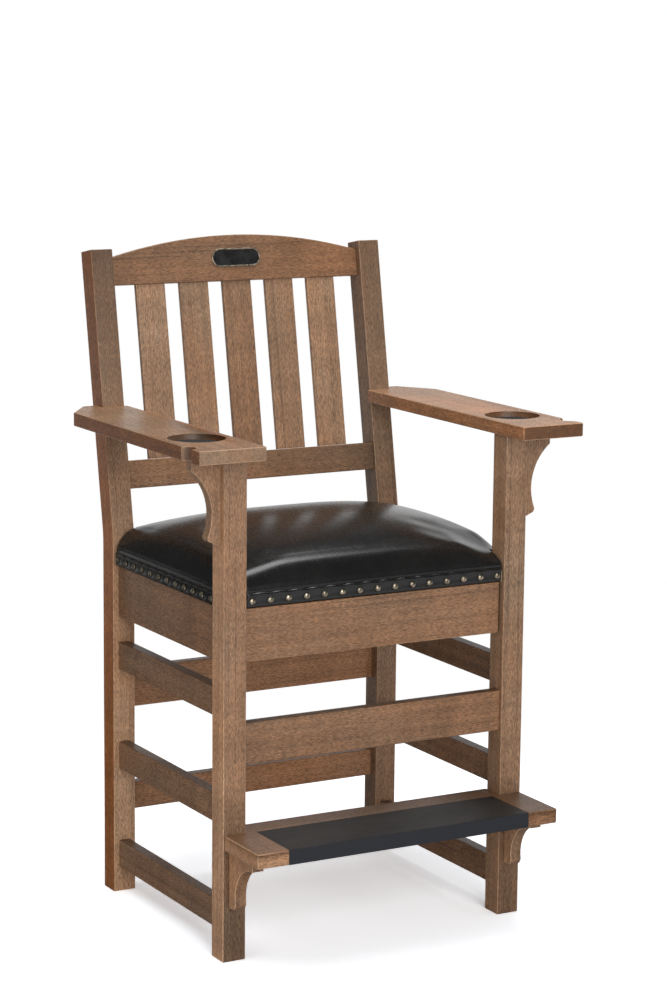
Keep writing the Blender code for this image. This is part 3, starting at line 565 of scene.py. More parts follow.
def layPlies(mesh, along, through, start):
    shift = nextShift()
    grain = mesh.verts.layers.float_vector["grain"]
    across = 3 - along - through
    for vert in mesh.verts:
        spot = vert.co
        vert[grain] = (spot[along] + shift.x, spot[across] + shift.y, spot[through] - start)


def setOrder(mesh):
    # points, edges and faces in the same order on each run, so that the cloth swells alike
    def byPoints(part):
        return sorted(v.index for v in part.verts)

    for parts, key in ((mesh.verts, lambda v: tuple(v.co)), (mesh.edges, byPoints), (mesh.faces, byPoints)):
        rank = {part: i for i, part in enumerate(sorted(parts, key=key))}
        parts.sort(key=rank.__getitem__)
        parts.index_update()


def addPiece(name, mesh, finish, nodes, body="frame", flatFaces=True):
    bmesh.ops.remove_doubles(mesh, verts=mesh.verts[:], dist=weldReach)
    faceOut(mesh)
    data = bpy.data.meshes.new(name)
    mesh.to_mesh(data)
    mesh.free()
    data.shade_smooth()
    data.set_sharp_from_angle(angle=creaseAngle)
    data.materials.append(finish)
    piece = bpy.data.objects.new(name, data)
    scene.collection.objects.link(piece)
    if flatFaces:
        weigh = piece.modifiers.new("flatFaces", "WEIGHTED_NORMAL")
        weigh.keep_sharp = True
    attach(piece, body)
    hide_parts(*nodes)
    return piece


def addWood(name, mesh, along, nodes, tone=1.0, warmth=0.5, body="frame", bend=None, endTone=0.8):
    layGrain(mesh, along, tone, warmth, endTone, bend)
    return addPiece(name, mesh, stainedWood, nodes, body)


# a pen that draws an outline: lines by extruding a point, arcs by spinning it
def penLine(mesh, vert, place):
    grown = bmesh.ops.extrude_vert_indiv(mesh, verts=[vert])["verts"][0]
    grown.co = place
    return grown


def penArc(mesh, vert, axis, centre, degrees, steps):
    swept = bmesh.ops.spin(mesh, geom=[vert], cent=centre, axis=axis, angle=math.radians(degrees), steps=steps,
                           dvec=(0, 0, 0), use_merge=False, use_duplicate=False)["geom_last"]
    return vertsOf(swept)[0]


def drawOutline(axis, start, strokes):
    # a stroke is a place to draw a line to, or an arc's centre, degrees and steps; the last line closes it
    mesh = newMesh()
    first = pen = mesh.verts.new(start)
    for stroke in strokes:
        isArc = isinstance(stroke[0], tuple)
        pen = penArc(mesh, pen, axis, *stroke) if isArc else penLine(mesh, pen, stroke)
    penLine(mesh, pen, first.co)
    bmesh.ops.remove_doubles(mesh, verts=mesh.verts[:], dist=joinReach)
    return mesh


def drawBoard(axis, start, strokes, thickness):
    # the drawn outline becomes a face, and the face a board
    mesh = drawOutline(axis, start, strokes)
    bmesh.ops.contextual_create(mesh, geom=mesh.edges[:])
    faceOut(mesh)
    raiseFaces(mesh, mesh.faces[:], thickness)
    return mesh


def gridSheet(xLines, yLines, z, keep):
    # flat sheet of cells between given lines, without the cells that keep() turns down
    mesh = newMesh()
    bmesh.ops.create_grid(mesh, x_segments=len(xLines) - 1, y_segments=len(yLines) - 1, size=1)
    for vert in mesh.verts:
        column = round((vert.co.x + 1) / 2 * (len(xLines) - 1))
        row = round((vert.co.y + 1) / 2 * (len(yLines) - 1))
        vert.co = (xLines[column], yLines[row], z)
    gone = [f for f in mesh.faces if not keep(f.calc_center_median())]
    bmesh.ops.delete(mesh, geom=gone, context="FACES")
    return mesh


sides = (("left", "Left", -1), ("right", "Right", 1))
leftward, rightward, frontward, rearward, upward = (-1, 0, 0), (1, 0, 0), (0, -1, 0), (0, 1, 0), (0, 0, 1)
tenon = 0.014   # hidden length at each end of a CAD rail
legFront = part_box("front_leg_left")[0].y   # world y of the leg fronts, from which the layout counts back

# legs and posts: tones go from foot to top, and the face turned to the left has its own tone and warmth; these fades
# and face tones and warmths are painted light and shade
legShape = dict(edge=0.0018, roundBelow=0.5, warmths=(0.26, 0.35), tones=(0.50, 0.91), fade=(0.09, 0.30),
                leftTones=dict(left=1.49, right=1.03), cuts=(0.05, 0.09, 0.14, 0.20, 0.26, 0.32))
postShape = dict(setback=0.460, section=0.045, knee=0.697, kneeRadius=0.15, lean=10.1, rise=0.540, edge=0.0018,
                 frameHalf=0.3125, warmths=dict(left=(0.25, 3.2), right=(0.30, 0.60)),
                 tones=dict(left=(1.68, 0.37), right=(0.98, 0.63)),
                 leftTones=dict(left=(0.60, 0.39), right=(0.56, 0.56)), fade=(0.55, 0.95))
leanTurn = Matrix.Translation((0, legFront + postShape["setback"], postShape["knee"]))
leanTurn = leanTurn @ Matrix.Rotation(math.radians(-postShape["lean"]), 4, "X")
leanBack = leanTurn.inverted()
leanAlong = leanTurn.to_3x3() @ Vector(upward)


def makeLeg(shape, side, sideName):
    mesh = boxMesh(*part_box("front_leg_" + side))
    roundEdges(mesh, shape["edge"], chosen=lambda e: min(v.co.z for v in e.verts) < shape["roundBelow"])
    # loops across the leg, so that the painted shade towards the foot follows the height
    for height in shape["cuts"]:
        cutAcross(mesh, (0, 0, height), upward)
    # painted shade darker towards the foot; faces turned left get their own tone, painted light on the left leg
    tone = turned(leftward, fade(2, *shape["fade"], *shape["tones"]), shape["leftTones"][side])
    addWood("frontLeg" + sideName, mesh, upward, ["front_leg_" + side], tone, turned(leftward, *shape["warmths"]))


def straighten(spot):
    # where a point of a leaning post would be if the post were upright
    if spot.z < postShape["knee"]:
        return spot
    local = leanBack @ spot
    return Vector((local.x, local.y + legFront + postShape["setback"], local.z + postShape["knee"]))


def makePost(shape, side, sideName, sign):
    section, knee = shape["section"], shape["knee"]
    middle = Vector((sign * (shape["frameHalf"] - section / 2), legFront + shape["setback"] + section / 2, 0))
    lean = math.radians(shape["lean"])
    run = (shape["kneeRadius"] + section) * math.tan(lean / 2)   # from the knee to where the bend starts
    mesh = newMesh()
    bmesh.ops.create_grid(mesh, x_segments=1, y_segments=1, size=section / 2, matrix=Matrix.Translation(middle))
    bmesh.ops.delete(mesh, geom=mesh.faces[:], context="FACES_ONLY")
    rim = mesh.edges[:]
    centre = (middle.x, legFront + shape["setback"] + section + shape["kneeRadius"], knee - run)
    for stage in ("upright", "knee", "leaning"):
        if stage == "knee":
            swept = bmesh.ops.spin(mesh, geom=rim, cent=centre, axis=(1, 0, 0), angle=-lean, steps=8,
                                   dvec=(0, 0, 0), use_merge=False, use_duplicate=False)["geom_last"]
        else:
            swept = bmesh.ops.extrude_edge_only(mesh, edges=rim)["geom"]
            step = Vector((0, 0, knee - run)) if stage == "upright" else leanAlong * (shape["rise"] - run)
            bmesh.ops.translate(mesh, verts=vertsOf(swept), vec=step)
        rim = [e for e in swept if isinstance(e, bmesh.types.BMEdge)]
    bmesh.ops.holes_fill(mesh, edges=[e for e in mesh.edges if e.is_boundary], sides=0)
    roundEdges(mesh, shape["edge"])
    # painted light and shade: tone fades from foot to top, and faces turned left have their own tone and warmth
    tone = turned(leftward, *(fade(2, *shape["fade"], *shape[k][side]) for k in ("tones", "leftTones")))
    addWood("backPost" + sideName, mesh, upward, ["back_post_" + side], tone,
            turned(leftward, *shape["warmths"][side]), bend=straighten)


for side, sideName, sign in sides:
    makeLeg(legShape, side, sideName)
for side, sideName, sign in sides:
    makePost(postShape, side, sideName, sign)
print("legs and posts ready")

# rails between legs and posts: node, name, axis they run along, tone, warmth; the low tones of the side rails and
# side aprons are painted shade
railShape = dict(edge=0.0018, paintedTopShade=0.5, bearerTone=0.95, runnerEdge=0.0012, runnerTone=0.98)
railList = [("rear_apron", "rearApron", 0, 0.86, 0.8), ("rear_upper_rail", "rearUpperRail", 0, 1.06, 0.9),
            ("rear_lower_rail", "rearLowerRail", 0, 0.96, 0.9), ("front_rail", "frontRail", 0, 0.73, 0.6)]
for side, sideName, sign in sides:
    for level, levelName, tone in (("lower", "Lower", 0.72), ("middle", "Middle", 0.72), ("upper", "Upper", 0.64)):
        railList.append((f"side_{level}_rail_{side}", f"side{levelName}Rail{sideName}", 1, tone, 0.5))
    railList.append(("side_apron_" + side, "sideApron" + sideName, 1, 0.60, 0.8))


def makeRail(shape, node, name, axis, tone, warmth):
    low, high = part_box(node)
    low[axis] += tenon
    high[axis] -= tenon
    mesh = boxMesh(low, high)
    along = [float(i == axis) for i in range(3)]
    roundEdges(mesh, shape["edge"], chosen=runsAlong(along))
    faceTone = mesh.faces.layers.float["faceTone"]
    # painted shade: top faces of the rails darker
    for face in mesh.faces:
        if face.normal.z > 0.9:
            face[faceTone] = shape["paintedTopShade"]
    addWood(name, mesh, along, [node], tone, warmth)


def makeStrip(node, name, edge, along, tone):
    mesh = boxMesh(*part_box(node))
    roundEdges(mesh, edge)
    addWood(name, mesh, along, [node], tone)


for row in railList:
    makeRail(railShape, *row)
makeStrip("seat_bearer", "seatBearer", railShape["edge"], rightward, railShape["bearerTone"])
for side, sideName, sign in sides:
    makeStrip("drawer_runner_" + side, "drawerRunner" + sideName, railShape["runnerEdge"], rearward,
              railShape["runnerTone"])
print("rails ready")

# back: lengths along the lean from the knee, depth behind the post fronts
backShape = dict(plane=0.0235, reach=0.2672, crestFoot=0.472, crestEnd=0.5245, crestArch=0.0365, crestThick=0.017,
                 crestEdge=0.00192, crestTone=0.66, crestWarmth=0.8,
                 railFoot=0.086, railTop=0.1395, railThick=0.036, railEdge=0.0022, railTones=(0.90, 0.50),
                 railShadeFade=(-0.05, 0.20), railWarmth=0.6,
                 slatWidth=0.061, slatPitch=0.0925, slatThick=0.010, slatEdge=0.0016, gap=0.0003,
                 slatTones=(1.03, 0.95, 0.76, 0.96, 1.03), slatWarmths=(0.30, 0.32, 0.45, 0.15, 0.35))


def makeSlats(shape):
    half = Vector((shape["slatWidth"] / 2, shape["slatThick"] / 2, 0))
    middleSlat = (len(shape["slatTones"]) - 1) / 2
    for i, (tone, warmth) in enumerate(zip(shape["slatTones"], shape["slatWarmths"])):
        middle = (i - middleSlat) * shape["slatPitch"]
        low = Vector((middle, shape["plane"], shape["railTop"] + shape["gap"])) - half
        high = Vector((middle, shape["plane"], shape["crestFoot"] - shape["gap"])) + half
        slat = boxMesh(low, high, leanTurn)
        roundEdges(slat, shape["slatEdge"], chosen=runsAlong(leanAlong))
        addWood(f"backSlat{i + 1}", slat, leanAlong, [f"back_slat_{i + 1}"], tone, warmth)


def makeBackRail(shape):
    reach, plane, half = shape["reach"], shape["plane"], shape["railThick"] / 2
    rail = boxMesh((-reach, plane - half, shape["railFoot"]), (reach, plane + half, shape["railTop"]), leanTurn)
    roundEdges(rail, shape["railEdge"], chosen=runsAlong(rightward))
    # painted shade: the back rail darkens towards its right end
    addWood("backRail", rail, rightward, ["back_rail"], fade(0, *shape["railShadeFade"], *shape["railTones"]),
            shape["railWarmth"])


def makeCrest(shape):
    reach, arch, foot, end = shape["reach"], shape["crestArch"], shape["crestFoot"], shape["crestEnd"]
    radius = (reach ** 2 + arch ** 2) / (2 * arch)
    swing = math.degrees(2 * math.asin(reach / radius))
    front = shape["plane"] - shape["crestThick"] / 2
    crest = drawBoard(frontward, (-reach, front, foot), [
        (reach, front, foot), (reach, front, end), ((0, front, end + arch - radius), swing, 40),
    ], (0, shape["crestThick"], 0))
    roundEdges(crest, shape["crestEdge"], chosen=lambda e: abs(e.verts[0].co.y - e.verts[1].co.y) < 0.001
               and abs(e.verts[0].co.x - e.verts[1].co.x) > 0.001)
    moveMesh(crest, leanTurn)
    addWood("crestRail", crest, rightward, ["crest_rail"], shape["crestTone"], shape["crestWarmth"])


makeSlats(backShape)
makeBackRail(backShape)
makeCrest(backShape)

# plain oval plate with a raised rim on the crest
plateShape = dict(length=0.105, height=0.036, rim=0.003, thick=0.0018, proud=0.0008, gap=0.0003, rise=0.5165,
                  edge=0.0004, rimEdge=0.0009)


def ovalOutline(length, height, y, rise):
    radius = height / 2
    reach = length / 2 - radius
    return frontward, (reach, y, rise - radius), [((reach, y, rise), 180, 16), (-reach, y, rise + radius),
                                                  ((-reach, y, rise), 180, 16)]


def makePlate(shape):
    length, height, rise, thick = (shape[k] for k in ("length", "height", "rise", "thick"))
    front = backShape["plane"] - backShape["crestThick"] / 2 - shape["gap"]
    inner = 2 * (shape["rim"] + shape["gap"])
    plate = drawBoard(*ovalOutline(length - inner, height - inner, front, rise), (0, -thick, 0))
    roundEdges(plate, shape["edge"], 2)
    moveMesh(plate, leanTurn)
    addPiece("crestPlate", plate, blackEnamel, ["crest_plate"])

    rim = drawOutline(*ovalOutline(length, height, front, rise))
    face = bmesh.ops.contextual_create(rim, geom=rim.edges[:])["faces"]
    ring = bmesh.ops.inset_region(rim, faces=face, thickness=shape["rim"], use_even_offset=True,
                                  use_boundary=True)["faces"]
    bmesh.ops.delete(rim, geom=[f for f in rim.faces if f not in set(ring)], context="FACES")
    raiseFaces(rim, rim.faces[:], (0, -thick - shape["proud"], 0))
    roundEdges(rim, shape["rimEdge"], 3)
    moveMesh(rim, leanTurn)
    wornAndPaintedLight = rim.verts.layers.float["edgeWearAndPaintedLight"]
    for vert in rim.verts:   # bright all over
        vert[wornAndPaintedLight] = 0
    addPiece("crestPlateRim", rim, antiqueBrass, ["crest_plate_rim"])


makePlate(plateShape)
print("back ready")

# arms, drawn for the right side and turned over for the left; y counts back from the leg fronts
armShape = dict(inner=0.262, outer=0.393, nose=-0.063, tail=0.527, foot=0.912, thick=0.025, corner=0.004,
                cueX=0.396, cueY=-0.0145, cueRadius=0.020, clipAcross=0.050, clipAlong=0.071, postSide=0.3128,
                gap=0.0003, edge=0.0020, cupX=0.3275, cupY=0.077, cupRadius=0.050, cupDepth=0.013, cupLip=0.0014,
                cupFloorShade=0.19, cupWallShade=0.50, seamY=0.0455, seamHalf=0.0006, seamTone=0.45, warmth=0.50,
                leftWarmths=dict(left=3.3, right=1.3), frontWarmths=dict(left=0.10, right=1.3),
                tones=dict(left=0.95, right=1.16), leftTones=dict(left=0.37, right=0.80),
                endTones=dict(left=1.02, right=0.29), padGap=0.0004, padEdge=0.0010)
hair = 0.0001   # for telling places apart


def cupRecess(mesh, shape, top):
    # rounded lip, wall and floor of the cup recess, spun from one profile; returns the edges of its rim
    centre = Vector((shape["cupX"], shape["cupY"], 0))
    radius, lip, floor = shape["cupRadius"], shape["cupLip"], top - shape["cupDepth"]
    before = set(mesh.edges)
    pen = mesh.verts.new(centre + Vector((radius + lip, 0, top)))
    pen = penArc(mesh, pen, frontward, centre + Vector((radius + lip, 0, top - lip)), -90, 3)
    pen = penLine(mesh, pen, centre + Vector((radius, 0, floor)))
    penLine(mesh, pen, centre + Vector((0, 0, floor)))
    profile = [e for e in mesh.edges if e not in before]
    bmesh.ops.spin(mesh, geom=profile + list({v for e in profile for v in e.verts}), cent=centre, axis=upward,
                   angle=math.tau, steps=64, dvec=(0, 0, 0), use_merge=True, use_duplicate=False)
    fresh = [e for e in mesh.edges if e not in before]
    bmesh.ops.remove_doubles(mesh, verts=list({v for e in fresh for v in e.verts}), dist=joinReach)
    fresh = [e for e in mesh.edges if e not in before]
    # painted shade: the wall and floor inside the cup recess darker
    faceTone = mesh.faces.layers.float["faceTone"]
    for face in {f for e in fresh for f in e.link_faces}:
        height = face.calc_center_median().z
        if height < top - lip:
            face[faceTone] = shape["cupFloorShade"] if height < floor + hair else shape["cupWallShade"]
    rimReach = radius + lip - hair
    return [e for e in fresh if e.is_boundary and all((v.co.xy - centre.xy).length > rimReach for v in e.verts)]


def markSeam(mesh, shape):
    # the glue line where the front block of the arm's outer edge meets the rest
    for y in (shape["seamY"] - shape["seamHalf"], shape["seamY"] + shape["seamHalf"]):
        cutAcross(mesh, (0, y, 0), rearward)
    faceTone = mesh.faces.layers.float["faceTone"]
    for face in mesh.faces:
        middle = face.calc_center_median()
        if abs(middle.y - shape["seamY"]) < shape["seamHalf"] and middle.x > shape["outer"] - 2 * hair:
            face[faceTone] = shape["seamTone"]


def makeArm(shape, side, sideName, sign):
    foot, top = shape["foot"], shape["foot"] + shape["thick"]
    slope = math.tan(math.radians(postShape["lean"]))
    slotFoot = postShape["setback"] + (foot - postShape["knee"]) * slope - shape["gap"]
    cueX, cueY, postSide = shape["cueX"], shape["cueY"], shape["postSide"]
    inner, outer, nose, tail, corner = (shape[k] for k in ("inner", "outer", "nose", "tail", "corner"))
    reach = math.sqrt(shape["cueRadius"] ** 2 - (cueX - outer) ** 2)
    swing = 2 * math.degrees(math.atan2(reach, cueX - outer))
    mesh = drawBoard(upward, (inner, slotFoot, foot), [
        (inner, nose + corner, foot), ((inner + corner, nose + corner, foot), 90, 6),
        (outer - corner, nose, foot), ((outer - corner, nose + corner, foot), 90, 6),
        (outer, cueY - reach, foot), ((cueX, cueY, foot), -swing, 20),
        (outer, tail - shape["clipAlong"], foot), (outer - shape["clipAcross"], tail, foot),
        (postSide, tail, foot), (postSide, slotFoot, foot),
    ], (0, 0, shape["thick"]))
    for vert in mesh.verts:   # the slot leans with the post
        if abs(vert.co.y - slotFoot) < hair and vert.co.z > foot + hair:
            vert.co.y += shape["thick"] * slope
    roundEdges(mesh, shape["edge"])
    lid = max(mesh.faces, key=lambda f: f.calc_area() if f.normal.z > 0.99 else 0)
    border = lid.edges[:]
    bmesh.ops.delete(mesh, geom=[lid], context="FACES_ONLY")
    rim = cupRecess(mesh, shape, top)
    bmesh.ops.triangle_fill(mesh, use_beauty=True, use_dissolve=False, edges=border + rim, normal=upward)
    markSeam(mesh, shape)
    moveMesh(mesh, Matrix.Translation((0, legFront, 0)))
    bmesh.ops.scale(mesh, vec=(sign, 1, 1), verts=mesh.verts[:])
    # painted light and shade: faces turned left get their own tone and warmth, front faces their own warmth, and the
    # end faces' tone is partly end grain and partly painted light and shade
    tone = turned(leftward, shape["tones"][side], shape["leftTones"][side])
    warmth = turned(leftward, shape["warmth"], shape["leftWarmths"][side])
    addWood("arm" + sideName, mesh, rearward, ["arm_" + side], tone,
            turned(frontward, warmth, shape["frontWarmths"][side]), endTone=shape["endTones"][side])


def makeCupPad(shape, side, sideName):
    low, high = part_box("cup_pad_" + side)
    middle = (low + high) / 2
    pad = newMesh()
    bmesh.ops.create_circle(pad, cap_ends=True, segments=48, radius=(high.x - low.x) / 2 - shape["padGap"],
                            matrix=Matrix.Translation((middle.x, middle.y, low.z)))
    raiseFaces(pad, pad.faces[:], (0, 0, high.z - low.z))
    roundEdges(pad, shape["padEdge"], 3)
    addPiece("cupPad" + sideName, pad, blackFelt, ["cup_pad_" + side])


for side, sideName, sign in sides:
    makeArm(armShape, side, sideName, sign)
    makeCupPad(armShape, side, sideName)
print("arms ready")

# curved brackets under the arms and the footrest: distance out from the leg and height below what they carry
bracketShape = dict(
    thick=0.0225, gap=0.0003, edge=0.0014, legHalf=0.3125, legMiddle=0.29, legDeep=0.0225, warmth=0.4,
    tones=dict(arm=0.90, foot=0.71), leftTone=1.35,
    arm=dict(radius=0.100, reach=0.0575, nose=0.022, waist=0.018, flare=0.008, foot=0.017, toe=0.010, toeTurn=50),
    foot=dict(radius=0.066, reach=0.090, nose=0.017, waist=0.0245, flare=0.001, foot=0.0125, toe=0.012, toeTurn=75),
)


def bracketMesh(form, stand):
    # stand turns the flat drawing (out, height) into the bracket's own plane
    radius, reach, nose, gap = form["radius"], form["reach"], form["nose"], bracketShape["gap"]
    centreOut = form["waist"] + radius
    first = math.acos((centreOut - reach) / radius)
    last = math.acos((radius - form["flare"]) / radius)
    centreDown = -nose - radius * math.sin(first)
    toeOut, toeDown = form["waist"] + form["flare"], centreDown - radius * math.sin(last)
    mesh = drawBoard(upward, (gap, -gap, 0), [
        (reach, -gap, 0), (reach, -nose, 0), ((centreOut, centreDown, 0), math.degrees(first + last), 16),
        ((toeOut - form["toe"], toeDown, 0), -form["toeTurn"], 6), (gap, toeDown - form["foot"], 0),
    ], (0, 0, bracketShape["thick"]))
    moveMesh(mesh, stand)
    roundEdges(mesh, bracketShape["edge"])
    return mesh


def makeBrackets(shape, side, sideName, sign):
    half = shape["thick"] / 2
    stand = Matrix(((sign, 0, 0, sign * shape["legHalf"]), (0, 0, 1, legFront + shape["legDeep"] - half),
                    (0, 1, 0, armShape["foot"]), (0, 0, 0, 1)))
    addWood("armBracket" + sideName, bracketMesh(shape["arm"], stand), upward, ["arm_bracket_" + side],
            shape["tones"]["arm"], shape["warmth"])
    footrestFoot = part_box("footrest_board")[0].z
    stand = Matrix(((0, 0, 1, sign * shape["legMiddle"] - half), (-1, 0, 0, legFront), (0, 1, 0, footrestFoot),
                    (0, 0, 0, 1)))
    # painted light: the footrest brackets' faces turned left are lighter
    addWood("footrestBracket" + sideName, bracketMesh(shape["foot"], stand), upward, ["footrest_bracket_" + side],
            turned(leftward, shape["tones"]["foot"], shape["leftTone"]), shape["warmth"])


for side, sideName, sign in sides:
    makeBrackets(bracketShape, side, sideName, sign)
print("brackets ready")

# footrest board with a bed for the tread in its top and front edge
footrestShape = dict(tongueHalf=0.2672, gap=0.0003, edge=0.0028, bedClear=0.0005, tones=(0.74, 0.48),
                     paintedShadeFade=(0.0, 0.28), warmth=0.55, frontTone=1.5, leftTone=1.75,
                     treadThick=0.002, treadEdge=0.0007, lipRound=0.0006, lipWide=0.0022, grooveWide=0.0009,
                     grooveDeep=0.00072)


def makeFootrest(shape):
    low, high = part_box("footrest_board")
    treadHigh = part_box("footrest_tread")[1]
    bedHalf = treadHigh.x + shape["gap"]
    bedDeep = shape["treadThick"] + shape["gap"]
    bedRear = treadHigh.y + shape["gap"]
    shoulder = legFront - shape["gap"]
    tongue = shape["tongueHalf"]

    def keep(middle):
        besideLeg = abs(middle.x) > tongue and middle.y > shoulder
        inLip = abs(middle.x) < bedHalf and middle.y < low.y + bedDeep
        return not besideLeg and not inLip

    mesh = gridSheet([low.x, -tongue, -bedHalf, bedHalf, tongue, high.x],
                     [low.y, low.y + bedDeep, bedRear, shoulder, high.y], low.z, keep)
    bed = raiseFaces(mesh, mesh.faces[:], (0, 0, high.z - low.z - bedDeep))
    rim = [f for f in bed if abs(f.calc_center_median().x) > bedHalf or f.calc_center_median().y > bedRear]
    raiseFaces(mesh, rim, (0, 0, bedDeep))
    faceOut(mesh)
    bmesh.ops.dissolve_limit(mesh, angle_limit=0.005, verts=mesh.verts[:], edges=mesh.edges[:])

    def outside(edge):   # the bed's own edges stay crisp
        middle = (edge.verts[0].co + edge.verts[1].co) / 2
        return abs(middle.x) >= bedHalf + shape["bedClear"] or middle.y >= bedRear + shape["bedClear"]

    roundEdges(mesh, shape["edge"], 3, outside)
    # painted light: the board's front and left faces lighter
    faceTone = mesh.faces.layers.float["faceTone"]
    for face in mesh.faces:
        if face.normal.y < -0.9:
            face[faceTone] = shape["frontTone"]
        elif face.normal.x < -0.9:
            face[faceTone] = shape["leftTone"]
    # painted shade: the board darkens towards its right end
    addWood("footrestBoard", mesh, rightward, ["footrest_board"], fade(0, *shape["paintedShadeFade"], *shape["tones"]),
            shape["warmth"])


def makeTreadSheet(shape):
    # a sheet with a turned-down lip and a fine groove where the sheet meets the lip
    low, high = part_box("footrest_tread")
    front, rear, foot, top, thick = low.y, high.y, low.z, high.z, shape["treadThick"]
    bend, groove = front + shape["lipWide"], shape["grooveWide"]
    section = [(front, top - shape["lipRound"]), (front + shape["lipRound"], top), (bend, top),
               (bend + groove / 2, top - shape["grooveDeep"]), (bend + groove, top), (rear, top), (rear, top - thick),
               (front + thick, top - thick), (front + thick, foot)]
    sheet = drawBoard(rightward, (low.x, front, foot), [(low.x, y, z) for y, z in section], (high.x - low.x, 0, 0))
    roundEdges(sheet, shape["treadEdge"], 2, lambda e: abs(e.verts[0].co.x - e.verts[1].co.x) < 0.001)
    onLip = sheet.faces.layers.float["faceTone"]
    # marks the lip's front faces for their painted bluish light
    for face in sheet.faces:
        face[onLip] = 1 if face.normal.y < -0.9 else 0
    addPiece("footrestTread", sheet, treadSheet, ["footrest_tread"])


makeFootrest(footrestShape)
makeTreadSheet(footrestShape)
print("footrest ready")

# drawer: front with rounded lower corners, box of plywood
drawerShape = dict(corner=0.006, edge=0.0016, tone=0.74, warmth=0.65, boxEdge=0.0010)


def makeDrawer(shape):
    low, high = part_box("drawer_front")
    corner, y = shape["corner"], low.y
    mesh = drawBoard(frontward, (low.x, y, high.z), [
        (low.x, y, low.z + corner), ((low.x + corner, y, low.z + corner), 90, 6),
        (high.x - corner, y, low.z), ((high.x - corner, y, low.z + corner), 90, 6), (high.x, y, high.z),
    ], (0, high.y - y, 0))
    roundEdges(mesh, shape["edge"])
    addWood("drawerFront", mesh, rightward, ["drawer_front"], shape["tone"], shape["warmth"], "drawer")

    # boards with the axis of their grain and the axis of their thickness
    for node, name, along, through in (("drawer_side_left", "drawerSideLeft", 1, 0),
                                       ("drawer_side_right", "drawerSideRight", 1, 0),
                                       ("drawer_back", "drawerBack", 0, 1), ("drawer_bottom", "drawerBottom", 0, 2)):
        low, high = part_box(node)
        board = boxMesh(low, high)
        roundEdges(board, shape["boxEdge"], 2)
        layPlies(board, along, through, low[through])
        addPiece(name, board, barePlywood, [node], "drawer")


makeDrawer(drawerShape)
print("drawer ready")

# domed nails along the seat's band: places follow the rows of the CAD
nailShape = dict(radius=0.0066, dome=0.0038, skirt=0.0008, pitch=0.036, height=0.6523, end=0.012, beaten=0.00022,
                 dents=1.7, dentShift=3.1, ringTop=0.50, ringSoft=0.22, turn=2.4, set=0.0003, sink=0.0012,
                 inner=0.2665, near=0.046, far=0.459)


def nailSteps(length):
    # distances of a row's nails from the start of the row
    usable = length - 2 * nailShape["end"]
    count = round(usable / nailShape["pitch"]) + 1
    return [nailShape["end"] + usable * i / (count - 1) for i in range(count)]


# seat: heights in metres, y counts back from the leg fronts; band rows are height and distance inside the outline
seatShape = dict(half=0.310, front=0.0025, rear=0.5005, notchX=0.2648, notchFront=0.0477, notchRear=0.4573,
                 foot=0.641, rim=0.6720, ledge=0.0034, ledgeReach=0.0044, valley=0.6672, valleyInset=0.0037,
                 valleyRows=6, ridge=0.6645, shoulderWidth=0.040, shoulderRise=0.0329, crown=0.0496, full=2.7,
                 domeX=3.2, domeY=2.25, slimmer=0.98, cornerDips=(0.006, 0.0187), cornerReach=0.08, cell=0.006,
                 edgeSteps=(0, 0.0014, 0.0036, 0.0070, 0.0115, 0.0170, 0.0230, 0.0290, 0.0345, 0.0395),
                 band=((0.6666, 0.0030), (0.6658, 0.0016), (0.6648, 0.0005), (0.6634, 0.0000), (0.6614, 0.0003),
                       (0.6590, 0.0008), (0.6558, 0.0011), (0.6523, 0.0012), (0.6480, 0.0010), (0.6445, 0.0011),
                       (0.6422, 0.0016)),
                 hem=((0.6410, 0.0029, 0.0006), (0.6412, 0.0040, 0.0020), (0.6609, 0.0040, 0.0020)),
                 wave=0.0011, waveHalf=0.0030, dimple=0.0009, dimpleHalf=0.0060, puckered=(0.6440, 0.6716),
                 legX=0.2675, legDeep=0.045, postFront=0.460, clear=0.0008,
                 boardX=0.2665, boardFront=0.046, boardRear=0.459)
# cloth: how it swells, the furthest that a point may move, and how often neighbours are evened out
swellSetup = dict(quality=6, mass=0.3, stiffness=25, bending=2, pressure=4.0, frames=20, heldBelow=0.6725,
                  most=0.003, calm=12)


def spread(start, end, cell):
    count = max(1, round(abs(end - start) / cell))
    return [start + (end - start) * i / count for i in range(count)]


def crownRise(shape, x, y):
    middle = (shape["front"] + shape["rear"]) / 2
    deep = (shape["rear"] - shape["front"]) / 2
    across = clampShare((shape["half"] - abs(x)) / shape["shoulderWidth"])
    along = clampShare((deep - abs(y - middle)) / shape["shoulderWidth"])
    full = shape["full"]
    shoulder = (1 - (1 - across) ** full) * (1 - (1 - along) ** full)
    dome = max(0, 1 - abs(x / shape["half"]) ** shape["domeX"])
    dome *= max(0, 1 - abs((y - middle) / deep) ** shape["domeY"])
    # the leather is drawn down round the front legs
    dip = shape["cornerDips"][x > 0] * shoulder
    for away in (shape["notchX"] - abs(x), y - shape["notchFront"]):
        dip *= 1 - easeShare(away / shape["cornerReach"])
    return shape["slimmer"] * (shape["shoulderRise"] * shoulder + shape["crown"] * dome) - dip


